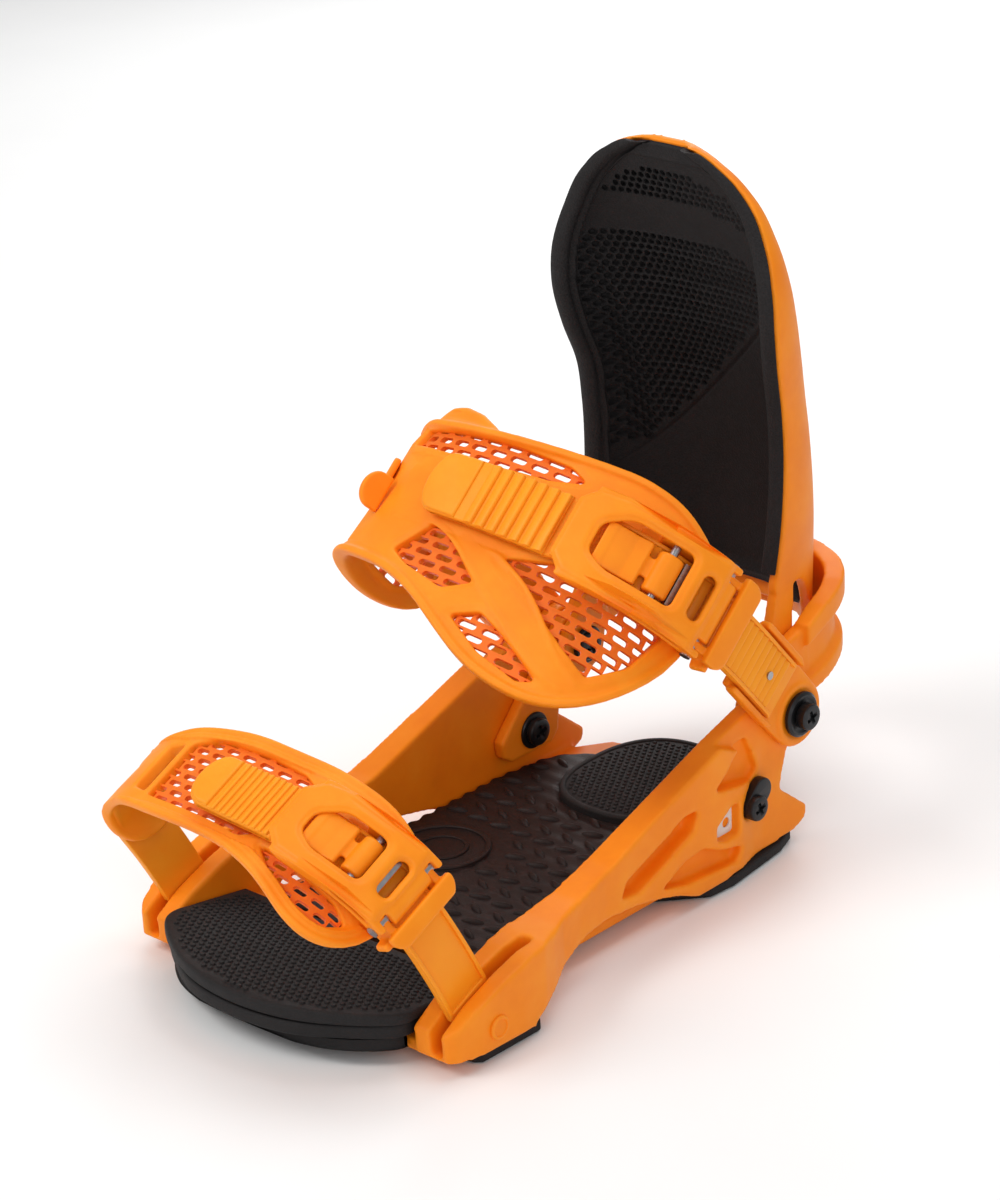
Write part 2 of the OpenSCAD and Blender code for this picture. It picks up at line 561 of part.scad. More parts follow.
baseplate();
rail_right();
rail_left();
base_pad_front_right();
base_pad_front_left();
base_pad_rear_right();
base_pad_rear_left();
centre_footbed();
heel_footbed();
toe_ramp();
toe_footbed();
mounting_disc();
heel_hoop();
index_plates();
hoop_screws();
hoop_brackets();
hoop_nuts();
pivot_screws();
pivot_washers();
pivot_nuts();
highback_right();
highback_left();
highback_ears();
highback_pad_right();
highback_pad_left();
lean_track();
lean_block();
lean_lever();
lean_pin();
ankle_connector_right();
ankle_connector_left();
ankle_ladder();
ankle_ladder_pin();
ankle_pad();
ankle_tail();
ankle_adjuster();
ankle_buckle_base();
ankle_lever();
ankle_release();
ankle_lever_pin();
ankle_release_pin();
ankle_pawl();
toe_ladder();
toe_pad();
toe_tail();
toe_buckle_base();
toe_lever();
toe_release();
toe_lever_pin();
toe_release_pin();
toe_pawl();
tower_pins();
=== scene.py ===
import bpy, bmesh, json, math
import numpy as np
from mathutils import Vector, Matrix

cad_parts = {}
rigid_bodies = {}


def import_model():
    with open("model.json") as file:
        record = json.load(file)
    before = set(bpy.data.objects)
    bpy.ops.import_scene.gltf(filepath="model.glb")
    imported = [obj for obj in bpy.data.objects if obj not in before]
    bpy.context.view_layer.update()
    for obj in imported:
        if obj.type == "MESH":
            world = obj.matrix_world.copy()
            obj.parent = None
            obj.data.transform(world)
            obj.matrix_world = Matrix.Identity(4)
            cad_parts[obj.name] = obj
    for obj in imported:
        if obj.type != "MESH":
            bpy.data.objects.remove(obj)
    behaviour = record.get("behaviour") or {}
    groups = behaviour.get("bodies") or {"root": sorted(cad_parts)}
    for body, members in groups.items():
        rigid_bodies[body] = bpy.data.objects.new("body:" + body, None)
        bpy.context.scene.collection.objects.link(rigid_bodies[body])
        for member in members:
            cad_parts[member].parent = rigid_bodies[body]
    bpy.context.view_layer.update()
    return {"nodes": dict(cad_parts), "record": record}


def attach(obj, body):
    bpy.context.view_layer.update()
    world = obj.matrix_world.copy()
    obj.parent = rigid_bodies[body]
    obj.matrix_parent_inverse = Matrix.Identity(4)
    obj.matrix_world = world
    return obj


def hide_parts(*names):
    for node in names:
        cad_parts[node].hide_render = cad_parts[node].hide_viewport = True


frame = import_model()
NODES = frame["nodes"]
MM = 0.001
# (y, z) of the pins that run across the binding, in millimetres
PIVOT, HOOP_SCREW, TOWER_PIN = (103, 53), (78, 26), (-74, 12)

# ------------------------------------------------------------------ camera, light and floor
AZ, EL, ROLL, DIST = math.radians(43.42), math.radians(23.4), math.radians(-2.65), 1.3
TARGET = Vector((0.0153, 0.0, 0.1208))
back = Vector((math.sin(AZ) * math.cos(EL), -math.cos(AZ) * math.cos(EL), math.sin(EL)))
right0 = Vector((math.cos(AZ), math.sin(AZ), 0))
up0 = back.cross(right0)
right = right0 * math.cos(ROLL) + up0 * math.sin(ROLL)
up = up0 * math.cos(ROLL) - right0 * math.sin(ROLL)
cam_data = bpy.data.cameras.new("Camera")
cam_data.lens, cam_data.sensor_width, cam_data.sensor_fit = 116.6, 36, "AUTO"
cam = bpy.data.objects.new("Camera", cam_data)
bpy.context.scene.collection.objects.link(cam)
cam.matrix_world = Matrix((
    (right.x, up.x, back.x, 0), (right.y, up.y, back.y, 0), (right.z, up.z, back.z, 0), (0, 0, 0, 1)))
cam.location = TARGET + back * DIST
bpy.context.scene.camera = cam


def area_light(name, where, size, power, colour=(1, 1, 1)):
    data = bpy.data.lights.new(name, "AREA")
    data.energy, data.size, data.color = power, size, colour
    o = bpy.data.objects.new(name, data)
    o.location = Vector(where)
    o.rotation_euler = (Vector((0, 0.02, 0.08)) - o.location).to_track_quat("-Z", "Y").to_euler()
    bpy.context.scene.collection.objects.link(o)


area_light("key", (-0.55, -0.95, 1.25), 0.7, 10.5, (1, 0.985, 0.96))
area_light("fill", (1.15, -0.75, 0.75), 0.9, 4.6, (0.97, 0.985, 1))
area_light("top", (0.1, 0.35, 1.5), 1.1, 8.0)
area_light("rim", (-0.7, 1.0, 0.6), 0.7, 4.0)
world = bpy.data.worlds.new("World")
world.use_nodes = True
world.node_tree.nodes["Background"].inputs[0].default_value = (1, 1, 1, 1)
# the studio wall reads as white while it lights the model softly
ray = world.node_tree.nodes.new("ShaderNodeLightPath")
level = world.node_tree.nodes.new("ShaderNodeMapRange")
level.inputs["To Min"].default_value, level.inputs["To Max"].default_value = 0.42, 1.0
world.node_tree.links.new(ray.outputs["Is Camera Ray"], level.inputs["Value"])
world.node_tree.links.new(level.outputs[0], world.node_tree.nodes["Background"].inputs[1])
bpy.context.scene.world = world
bpy.context.scene.view_settings.view_transform = "Standard"


# ------------------------------------------------------------------ materials
class Graph:
    """Adds nodes to the tree self.t: a socket is linked, a constant is set on the input itself."""

    def node(self, kind, ins=None, **props):
        n = self.t.nodes.new(kind)
        for k, v in props.items():
            setattr(n, k, v)
        for k, v in (ins or {}).items():
            if isinstance(v, bpy.types.NodeSocket):
                self.t.links.new(v, n.inputs[k])
            else:
                n.inputs[k].default_value = v
        return n


class Mat(Graph):
    """A procedural material on object coordinates, built node by node."""

    def __init__(self, name, rough):
        self.m = bpy.data.materials.new(name)
        self.m.use_nodes = True
        self.t = self.m.node_tree
        self.p = self.t.nodes["Principled BSDF"]
        self.c = self.t.nodes.new("ShaderNodeTexCoord").outputs["Object"]
        self.p.inputs["Roughness"].default_value = rough
        self.normal = None

    def noise(self, scale, detail=3.0):
        return self.node("ShaderNodeTexNoise", {"Vector": self.c, "Scale": scale, "Detail": detail,
                                                "Roughness": 0.6}).outputs["Fac"]

    def voronoi(self, scale):
        return self.node("ShaderNodeTexVoronoi", {"Vector": self.c, "Scale": scale, "Randomness": 1.0},
                         feature="F1").outputs["Distance"]

    def ramp(self, fac, stops):
        n = self.node("ShaderNodeValToRGB", {"Fac": fac})
        e = n.color_ramp.elements
        while len(e) < len(stops):
            e.new(0.5)
        for el, (pos, col) in zip(e, stops):
            el.position, el.color = pos, (*col, 1) if len(col) == 3 else col
        return n.outputs["Color"]

    def mix(self, fac, a, b):
        """Blend of two colours, each a socket or an (r, g, b)."""
        a, b = ((*v, 1) if isinstance(v, tuple) else v for v in (a, b))
        return self.node("ShaderNodeMix", {0: fac, 6: a, 7: b}, data_type="RGBA", blend_type="MIX").outputs[2]

    def value(self, fac, lo, hi, a=0.0, b=1.0):
        return self.node("ShaderNodeMapRange", {"Value": fac, "From Min": a, "From Max": b,
                                                "To Min": lo, "To Max": hi}).outputs[0]

    def bump(self, height, strength, dist):
        ins = {"Height": height, "Strength": strength, "Distance": dist}
        if self.normal is not None:
            ins["Normal"] = self.normal
        self.normal = self.node("ShaderNodeBump", ins).outputs["Normal"]
        self.t.links.new(self.normal, self.p.inputs["Normal"])

    def set(self, name, socket):
        self.t.links.new(socket, self.p.inputs[name])

    def edge(self):
        """1 on convex edges, 0 on flat faces and in hollows."""
        return self.value(self.node("ShaderNodeNewGeometry").outputs["Pointiness"], 0.0, 1.0, 0.47, 0.56)


def moulded(name, col, deep, light, rough, bump=0.12, sss=0.06):
    """Moulded nylon or rubber: slight clouding, a fine spark-eroded grain, and a painted highlight on convex
    edges.
    """
    m = Mat(name, rough)
    for socket, v in (("Subsurface Weight", sss), ("Subsurface Radius", (0.9, 0.32, 0.06)),
                      ("Subsurface Scale", 0.004), ("Specular IOR Level", 0.24)):
        m.p.inputs[socket].default_value = v
    cloud = m.ramp(m.noise(38, 4), [(0.3, deep), (0.52, col), (0.75, light)])
    # painted highlight: convex edges are mixed towards the pale colour, as if they catch the light
    edge_highlight = m.mix(m.edge(), cloud, light)
    m.set("Base Color", m.mix(0.55, cloud, edge_highlight))
    fine = m.noise(2600, 2)
    m.set("Roughness", m.value(m.noise(120, 3), rough - 0.06, rough + 0.08))
    m.bump(fine, bump, 0.00025)
    m.bump(m.noise(140, 2), 0.08, 0.0006)
    return m.m


def foam(name, col, light, rough=0.72, scale=1500, strength=0.5):
    """Black moulded foam with a leather-like pebble grain and a painted sheen on the high points of the grain.
    """
    m = Mat(name, rough)
    m.p.inputs["Specular IOR Level"].default_value = 0.24
    cells = m.voronoi(scale)
    base = m.ramp(m.noise(60, 5), [(0.3, col), (0.7, tuple(1.5 * c for c in col))])
    # painted sheen: the raised points of the grain are mixed towards the pale colour
    m.set("Base Color", m.mix(m.value(cells, 0.0, 0.5, 0.1, 0.7), base, light))
    m.set("Roughness", m.value(m.noise(260, 3), rough - 0.1, rough + 0.1))
    m.bump(cells, strength, 0.00035)
    m.bump(m.noise(3200, 2), 0.25, 0.0002)
    return m.m


def metal(name, col, rough, metallic=1.0):
    m = Mat(name, rough)
    m.p.inputs["Metallic"].default_value = metallic
    n = m.noise(900, 3)
    m.set("Base Color", m.ramp(n, [(0.25, tuple(0.75 * c for c in col)), (0.75, col)]))
    m.set("Roughness", m.value(n, rough - 0.08, rough + 0.12))
    m.bump(n, 0.15, 0.0002)
    return m.m


ORANGE = moulded("orange_nylon", (0.96, 0.25, 0.003), (0.89, 0.205, 0.002), (0.99, 0.305, 0.012), 0.48)
LADDER = moulded("ladder_plastic", (0.99, 0.305, 0.007), (0.95, 0.265, 0.005), (1.0, 0.36, 0.018), 0.42,
                 bump=0.06, sss=0.1)
BUCKLE = moulded("buckle_nylon", (0.97, 0.265, 0.004), (0.92, 0.225, 0.003), (1.0, 0.32, 0.013), 0.43,
                 bump=0.07)
RUBBER = moulded("orange_rubber", (0.99, 0.268, 0.005), (0.95, 0.225, 0.003), (1.0, 0.33, 0.018), 0.52,
                 bump=0.08, sss=0.16)
MESH = moulded("orange_mesh", (0.93, 0.155, 0.009), (0.88, 0.13, 0.006), (0.97, 0.20, 0.018), 0.5,
               bump=0.05, sss=0.2)
EVA = foam("black_eva", (0.0072, 0.0064, 0.0066), (0.023, 0.0205, 0.0215))
EVA_FINE = foam("black_eva_fine", (0.0078, 0.0069, 0.0071), (0.027, 0.0245, 0.025), 0.66, 2600, 0.35)
BROWN = foam("brown_eva", (0.0105, 0.0056, 0.005), (0.029, 0.019, 0.017), 0.52, 1900, 0.2)
BLACK = metal("black_steel", (0.022, 0.022, 0.024), 0.32, metallic=0.55)
STEEL = metal("steel", (0.46, 0.46, 0.48), 0.3)
NYLON = moulded("black_nylon", (0.02, 0.02, 0.021), (0.014, 0.014, 0.015), (0.05, 0.05, 0.052), 0.5,
                sss=0.0)
WHITE = moulded("white_plastic", (0.72, 0.71, 0.68), (0.66, 0.65, 0.62), (0.8, 0.79, 0.77), 0.45,
                sss=0.03)
SLOTS = {"orange_nylon": ORANGE, "ladder_plastic": LADDER, "orange_rubber": RUBBER, "black_eva": EVA,
         "brown_eva": BROWN, "black_steel": BLACK, "steel": STEEL, "black_nylon": NYLON,
         "white_plastic": WHITE}

floor_mat = Mat("floor", 0.6)
floor_mat.set("Base Color", floor_mat.ramp(floor_mat.noise(9, 2), [(0.3, (0.93, 0.93, 0.93)),
                                                                  (0.7, (0.95, 0.95, 0.95))]))
bm = bmesh.new()
bmesh.ops.create_grid(bm, x_segments=2, y_segments=2, size=6.0)
floor_mesh = bpy.data.meshes.new("floor")
bm.to_mesh(floor_mesh)
bm.free()
floor = bpy.data.objects.new("floor", floor_mesh)
floor.location.z = -0.0004
floor_mesh.materials.append(floor_mat.m)
bpy.context.scene.collection.objects.link(floor)


# ------------------------------------------------------------------ mesh helpers
def make(name, mesh, material, body, replaces=(), smooth=35):
    """Links a finished mesh as a piece of the model."""
    mesh.materials.clear()
    mesh.materials.append(material)
    for p in mesh.polygons:
        p.use_smooth = True
    if smooth:
        mesh.set_sharp_from_angle(angle=math.radians(smooth))
    o = bpy.data.objects.new(name, mesh)
    bpy.context.scene.collection.objects.link(o)
    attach(o, body)
    if replaces:
        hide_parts(*replaces)
    return o


def drum(rings, n):
    """Faces of a closed solid made of stacked rings of n points each."""
    f = [(k * n + i, k * n + (i + 1) % n, (k + 1) * n + (i + 1) % n, (k + 1) * n + i)
         for k in range(rings - 1) for i in range(n)]
    return f + [tuple(range(n - 1, -1, -1)), tuple((rings - 1) * n + i for i in range(n))]


def bar(n):
    """Faces of a bar between two outlines of n points."""
    return [tuple(range(n)), tuple(range(2 * n - 1, n - 1, -1))] + [
        (i, (i + 1) % n, n + (i + 1) % n, n + i) for i in range(n)]


def mesh_from(name, verts, faces):
    m = bpy.data.meshes.new(name)
    m.from_pydata([tuple(v) for v in verts], [], [tuple(f) for f in faces])
    m.validate()
    return m


def edit(mesh, work):
    """Opens a mesh, lets work change it and writes it back."""
    bm = bmesh.new()
    bm.from_mesh(mesh)
    work(bm)
    bm.to_mesh(mesh)
    bm.free()
    return mesh


def tidy(mesh, merge=1e-6):
    """Merges doubles and turns the faces outwards."""
    def work(bm):
        bmesh.ops.remove_doubles(bm, verts=bm.verts, dist=merge)
        bmesh.ops.recalc_face_normals(bm, faces=bm.faces)
        if bm.calc_volume(signed=True) < 0:
            bmesh.ops.reverse_faces(bm, faces=bm.faces)
    return edit(mesh, work)


def slice_at(bm, axis, places):
    """Cuts a mesh by planes across one axis, so that it can be bent there."""
    no = Vector((0, 0, 0))
    no[axis] = 1
    for c in places:
        bmesh.ops.bisect_plane(bm, geom=bm.verts[:] + bm.edges[:] + bm.faces[:], plane_co=no * c, plane_no=no)


def modified(mesh, *mods):
    """Runs modifiers over a mesh and returns the result. Each is (type, settings)."""
    o = bpy.data.objects.new("work", mesh)
    bpy.context.scene.collection.objects.link(o)
    for kind, settings in mods:
        md = o.modifiers.new(kind, kind)
        for k, v in settings.items():
            setattr(md, k, v)
    dg = bpy.context.evaluated_depsgraph_get()
    out = bpy.data.meshes.new_from_object(o.evaluated_get(dg))
    bpy.data.objects.remove(o)
    return out


def fuse(parts, voxel, smooth, ratio):
    """Welds closed meshes into one moulded solid with softened edges."""
    return modified(join(*parts), ("REMESH", {"mode": "VOXEL", "voxel_size": voxel * MM}),
                    ("CORRECTIVE_SMOOTH", {"smooth_type": "SIMPLE", "iterations": smooth, "factor": 0.5,
                                           "rest_source": "ORCO", "use_only_smooth": True}),
                    ("DECIMATE", {"ratio": ratio}))


def closed_grid(outer, inner):
    """Closed skin between two point grids of the same shape (rows, columns, 3)."""
    n, m = outer.shape[:2]
    v = np.concatenate([outer.reshape(-1, 3), inner.reshape(-1, 3)])
    q = n * m
    f = []
    for i in range(n - 1):
        for j in range(m - 1):
            a = i * m + j
            f.append((a, a + 1, a + m + 1, a + m))
            f.append((q + a, q + a + m, q + a + m + 1, q + a + 1))
    for i in range(n - 1):
        a, b = i * m, (i + 1) * m
        f.append((a, b, q + b, q + a))
        a, b = a + m - 1, b + m - 1
        f.append((a, q + a, q + b, b))
    for j in range(m - 1):
        a, b = j, j + 1
        f.append((a, q + a, q + b, b))
        a, b = (n - 1) * m + j, (n - 1) * m + j + 1
        f.append((a, b, q + b, q + a))
    return tidy(mesh_from("grid", v, f))


def catmull(p, u):
    """Points at parameters u on the smooth curve through control points p."""
    p = np.asarray(p, float)
    u = np.clip(np.asarray(u, float), 0, len(p) - 1)
    i = np.minimum(u.astype(int), len(p) - 2)
    f = (u - i)[..., None]
    b, c = p[i], p[i + 1]
    a = np.where((i > 0)[..., None], p[np.maximum(i - 1, 0)], 2 * b - c)
    d = np.where((i < len(p) - 2)[..., None], p[np.minimum(i + 2, len(p) - 1)], 2 * c - b)
    return 0.5 * (2 * b + (c - a) * f + (2 * a - 5 * b + 4 * c - d) * f * f
                  + (3 * b - a - 3 * c + d) * f ** 3)


def table(rows, x):
    """Smooth interpolation of a (key, value) table."""
    r = np.asarray(rows, float)
    k, y = r[:, 0], r[:, 1]
    x = np.clip(np.asarray(x, float), k[0], k[-1])
    d = np.diff(k)
    s = np.diff(y) / d
    m = np.concatenate([s[:1], (d[1:] * s[:-1] + d[:-1] * s[1:]) / (d[1:] + d[:-1]), s[-1:]])
    i = np.clip(np.searchsorted(k, x, side="right") - 1, 0, len(k) - 2)
    f, w = (x - k[i]) / d[i], d[i]
    return ((1 + 2 * f) * (1 - f) ** 2 * y[i] + f * (1 - f) ** 2 * w * m[i]
            + f * f * (3 - 2 * f) * y[i + 1] + f * f * (f - 1) * w * m[i + 1])


def step(x):
    x = np.clip(x, 0, 1)
    return x * x * (3 - 2 * x)


def arc(x, y, r, degrees):
    """Points of a circle at the given angles."""
    return [(x + r * math.cos(math.radians(d)), y + r * math.sin(math.radians(d))) for d in degrees]


def circle(x, y, r, n=28):
    return np.array([(x + r * math.cos(2 * math.pi * i / n), y + r * math.sin(2 * math.pi * i / n))
                     for i in range(n)])


def rounded(x0, x1, y0, y1, r, n=5):
    """Rounded rectangle outline."""
    cx, cy, w, h = (x0 + x1) / 2, (y0 + y1) / 2, (x1 - x0) / 2 - r, (y1 - y0) / 2 - r
    out = []
    for sx, sy, a0 in ((1, 1, 0), (-1, 1, 90), (-1, -1, 180), (1, -1, 270)):
        for i in range(n + 1):
            a = math.radians(a0 + 90 * i / n)
            out.append((cx + (sx * w + r * math.cos(a)), cy + (sy * h + r * math.sin(a))))
    return np.array(out)


def inside(poly, pts):
    """Which points lie inside a closed outline."""
    poly, pts = np.asarray(poly), np.asarray(pts)
    x, y = pts[:, 0], pts[:, 1]
    res = np.zeros(len(pts), bool)
    for (x0, y0), (x1, y1) in zip(poly, np.roll(poly, -1, 0)):
        hit = (y0 > y) != (y1 > y)
        with np.errstate(divide="ignore", invalid="ignore"):
            res ^= hit & (x < (x1 - x0) * (y - y0) / (y1 - y0 + 1e-12) + x0)
    return res


def slab(outlines, h0, h1, bevel=0.5, cell=0, cell_v=0, res=2):
    """Flat plate in (t, v, h) millimetres with holes and rounded edges, cut into cells to be bent."""
    cu = bpy.data.curves.new("slab", "CURVE")
    cu.dimensions, cu.fill_mode = "2D", "BOTH"
    cu.extrude = max((h1 - h0) / 2 - bevel, 0)
    cu.bevel_depth, cu.bevel_resolution, cu.offset = bevel, res, -bevel
    for o in outlines:
        s = cu.splines.new("POLY")
        s.points.add(len(o) - 1)
        for p, (x, y) in zip(s.points, o):
            p.co = (x, y, 0, 1)
        s.use_cyclic_u = True
    ob = bpy.data.objects.new("slab", cu)
    bpy.context.scene.collection.objects.link(ob)
    dg = bpy.context.evaluated_depsgraph_get()
    mesh = bpy.data.meshes.new_from_object(ob.evaluated_get(dg))
    bpy.data.objects.remove(ob)

    def work(bm):
        bmesh.ops.remove_doubles(bm, verts=bm.verts, dist=1e-4)
        co = np.array([v.co for v in bm.verts])
        for axis, size in ((0, cell), (1, cell_v)):
            if size:
                slice_at(bm, axis, np.arange(co[:, axis].min() + size / 2, co[:, axis].max(), size))
        bmesh.ops.recalc_face_normals(bm, faces=bm.faces)
    return moved(edit(mesh, work), 0, 0, (h0 + h1) / 2)


def coords(mesh):
    co = np.empty(len(mesh.vertices) * 3)
    mesh.vertices.foreach_get("co", co)
    return co.reshape(-1, 3)


def shift(mesh, fn):
    """Passes every point of a mesh through fn."""
    mesh.vertices.foreach_set("co", fn(coords(mesh)).ravel())
    mesh.update()
    return mesh


def moved(mesh, x, y, z):
    return shift(mesh, lambda p: p + np.array([x, y, z]))


def scaled(mesh, k=MM):
    return shift(mesh, lambda p: p * k)


def prism(profile, x0, x1, bevel=0.0):
    """Extrudes a (y, z) outline in millimetres from x0 to x1, with rounded edges."""
    v = [(x, y, z) for x in (x0, x1) for y, z in profile]
    m = tidy(mesh_from("prism", np.array(v) * MM, bar(len(profile))))
    if bevel:
        m = modified(m, ("BEVEL", {"width": bevel * MM, "segments": 2, "limit_method": "ANGLE",
                                   "angle_limit": math.radians(30)}))
    return m


def lathe(profile, n, centre):
    """Turns an outline of (x, radius) about the line along x through centre (y, z), in millimetres."""
    v, f = [], []
    k = len(profile)
    for i in range(n):
        a = 2 * math.pi * i / n
        v += [(d, r * math.cos(a) + centre[0], r * math.sin(a) + centre[1]) for d, r in profile]
    for i in range(n):
        for j in range(k):
            a, b = i * k + j, i * k + (j + 1) % k
            c, d = ((i + 1) % n) * k + (j + 1) % k, ((i + 1) % n) * k + j
            f.append((a, b, c, d))
    return tidy(mesh_from("lathe", np.array(v) * MM, f), 2e-5)


def join(*meshes, merge=0):
    bm = bmesh.new()
    for m in meshes:
        bm.from_mesh(m)
    if merge:
        bmesh.ops.remove_doubles(bm, verts=bm.verts, dist=merge)
    out = bpy.data.meshes.new("joined")
    bm.to_mesh(out)
    bm.free()
    return out


def mirrored(mesh):
    m = mesh.copy()
    shift(m, lambda p: p * np.array([-1, 1, 1]))
    m.flip_normals()
    return m


def both_sides(m):
    return join(m, mirrored(m))


def cad_copy(*nodes):
    return join(*(NODES[n].data for n in nodes), merge=1e-6)


# ------------------------------------------------------------------ strap paths, as in part.scad
class Strap:
    def __init__(self, pts, origin, lean):
        self.p, self.o, self.a = np.array(pts, float), origin, math.radians(lean)
        k = (len(pts) - 1) / 120
        s = catmull(self.p, np.arange(121) * k)
        self.run = np.concatenate([[0], np.cumsum(np.linalg.norm(np.diff(s, axis=0), axis=1))])
        self.u = np.arange(121) * k
        self.length = self.run[-1]

    def at(self, t, h):
        u = np.interp(t, self.run, self.u)
        p = catmull(self.p, u)
        e = catmull(self.p, u + 0.02) - catmull(self.p, u - 0.02)
        n = np.stack([e[..., 1], -e[..., 0]], -1)
        n /= np.linalg.norm(n, axis=-1, keepdims=True)
        return p + n * np.asarray(h)[..., None]

    def point(self, t, v, h):
        """World point in metres of strap coordinates in millimetres."""
        t, v, h = np.broadcast_arrays(np.asarray(t, float), np.asarray(v, float), np.asarray(h, float))
        q = self.at(t, h)
        f = 1 - 0.0025 * (np.maximum(v - 15, 0) - np.maximum(-v - 15, 0)) * step((q[..., 1] - 35) / 45)
        x, s = q[..., 0] * f, q[..., 1] * (1 + (f - 1) * 0.6)
        return self.place(x, v, s)

    def place(self, x, v, s):
        c, k = math.cos(self.a), math.sin(self.a)
        return np.stack([x, self.o[0] + v * c - s * k, self.o[1] + v * k + s * c], -1) * MM

    def bend(self, mesh):
        shift(mesh, lambda p: self.point(p[:, 0], p[:, 1], p[:, 2]))
        return tidy(mesh)


ANK = Strap([[61, 0], [61.3, 25], [61.2, 50], [58, 72], [50, 90], [36, 104], [18, 112], [0, 117],
             [-20, 120.5], [-42, 120.5], [-63, 114.5], [-76, 101], [-79.5, 81], [-74, 55], [-64, 28],
             [-61, 0]],
            PIVOT, 41)
TOE = Strap([[66.5, 0], [66.3, 14], [65.3, 29], [62, 46], [54, 61], [42, 71], [22, 79], [0, 82],
             [-21, 84], [-43, 82], [-59, 74], [-72, 61], [-74, 47], [-69, 30], [-66.5, 14], [-66.5, 0]],
            TOWER_PIN, 25)

# ------------------------------------------------------------------ Geometry Nodes helpers
class Tree(Graph):
    """A Geometry Nodes tree built in code, run once over a mesh."""

    def __init__(self, name, **inputs):
        self.t = bpy.data.node_groups.new(name, "GeometryNodeTree")
        self.t.is_modifier = True
        face = self.t.interface
        face.new_socket("Geometry", in_out="INPUT", socket_type="NodeSocketGeometry")
        self.ids = {k: face.new_socket(k.replace("_", " "), in_out="INPUT",
                                       socket_type="NodeSocket" + v).identifier for k, v in inputs.items()}
        face.new_socket("Geometry", in_out="OUTPUT", socket_type="NodeSocketGeometry")
        self.i = self.t.nodes.new("NodeGroupInput").outputs
        self.end = self.t.nodes.new("NodeGroupOutput")

    def math(self, op, a, b=0.0):
        return self.node("ShaderNodeMath", {0: a, 1: b}, operation=op).outputs[0]

    def finish(self, instances):
        real = self.node("GeometryNodeRealizeInstances", {"Geometry": instances})
        done = self.node("GeometryNodeSetMaterial", {"Geometry": real.outputs[0],
                                                     "Material": self.i["Material"]})
        self.t.links.new(done.outputs[0], self.end.inputs["Geometry"])

    def run(self, **values):
        base = bpy.data.objects.new("work", bpy.data.meshes.new("work"))
        bpy.context.scene.collection.objects.link(base)
        helpers = []
        mod = base.modifiers.new("nodes", "NODES")
        mod.node_group = self.t
        for k, v in values.items():
            if isinstance(v, bpy.types.Mesh):
                v = bpy.data.objects.new("helper", v)
                bpy.context.scene.collection.objects.link(v)
                helpers.append(v)
            mod[self.ids[k]] = v
        dg = bpy.context.evaluated_depsgraph_get()
        out = bpy.data.meshes.new_from_object(base.evaluated_get(dg))
        for o in [base] + helpers:
            bpy.data.objects.remove(o)
        return out


def bump_field_tree():
    """Copies of one small part on a staggered grid, dropped onto a region and turned row by row."""
    g = Tree("bump_field", Part="Object", Region="Object", Width="Float", Length="Float", Step_X="Float",
             Step_Y="Float", Centre="Vector", Stagger="Float", Turn="Float", Material="Material")
    sx, sy = g.i["Step X"], g.i["Step Y"]
    cols = g.math("CEIL", g.math("DIVIDE", g.i["Width"], sx))
    rows = g.math("CEIL", g.math("DIVIDE", g.i["Length"], sy))
    wide, long = g.math("MULTIPLY", cols, sx), g.math("MULTIPLY", rows, sy)
    grid = g.node("GeometryNodeMeshGrid", {"Size X": wide, "Size Y": long,
                                           "Vertices X": g.math("ADD", cols, 1.0),
                                           "Vertices Y": g.math("ADD", rows, 1.0)})
    place = g.node("GeometryNodeInputPosition").outputs[0]

    def odd(y):
        row = g.math("ROUND", g.math("DIVIDE", g.math("ADD", y, g.math("DIVIDE", long, 2.0)), sy))
        return g.math("FLOORED_MODULO", row, 2.0)

    y = g.node("ShaderNodeSeparateXYZ", {0: place}).outputs[1]
    slide = g.math("MULTIPLY", g.math("MULTIPLY", odd(y), g.i["Stagger"]), sx)
    offset = g.node("ShaderNodeVectorMath", {0: g.node("ShaderNodeCombineXYZ", {0: slide}).outputs[0],
                                             1: g.i["Centre"]}, operation="ADD").outputs[0]
    moved = g.node("GeometryNodeSetPosition", {"Geometry": grid.outputs[0], "Offset": offset})
    region = g.node("GeometryNodeObjectInfo", {"Object": g.i["Region"]}).outputs["Geometry"]
    above = g.node("ShaderNodeVectorMath", {0: place, 1: (0, 0, 200.0)}, operation="ADD").outputs[0]
    ray = g.node("GeometryNodeRaycast", {"Target Geometry": region, "Source Position": above,
                                         "Ray Direction": (0, 0, -1), "Ray Length": 500.0})
    miss = g.node("FunctionNodeBooleanMath", {0: ray.outputs["Is Hit"]}, operation="NOT").outputs[0]
    kept = g.node("GeometryNodeDeleteGeometry", {"Geometry": moved.outputs[0], "Selection": miss},
                  domain="POINT")
    drop = g.node("GeometryNodeSetPosition", {"Geometry": kept.outputs[0],
                                              "Position": ray.outputs["Hit Position"]})
    back_y = g.math("SUBTRACT", y, g.node("ShaderNodeSeparateXYZ", {0: g.i["Centre"]}).outputs[1])
    side = g.math("MULTIPLY", g.i["Turn"], g.math("SUBTRACT", 1.0, g.math("MULTIPLY", odd(back_y), 2.0)))
    turn = g.node("ShaderNodeCombineXYZ", {2: side}).outputs[0]
    part = g.node("GeometryNodeObjectInfo", {"Object": g.i["Part"]}).outputs["Geometry"]
    g.finish(g.node("GeometryNodeInstanceOnPoints", {"Points": drop.outputs[0], "Instance": part,
                                                     "Rotation": turn}).outputs[0])
    return g


def rib_row_tree():
    """Copies of one rib along a straight line."""
    g = Tree("rib_row", Part="Object", Count="Int", Start="Vector", Step="Vector", Material="Material")
    line = g.node("GeometryNodeMeshLine", {"Count": g.i["Count"], "Start Location": g.i["Start"],
                                           "Offset": g.i["Step"]}, mode="OFFSET")
    part = g.node("GeometryNodeObjectInfo", {"Object": g.i["Part"]}).outputs["Geometry"]
    g.finish(g.node("GeometryNodeInstanceOnPoints", {"Points": line.outputs[0],
                                                     "Instance": part}).outputs[0])
    return g


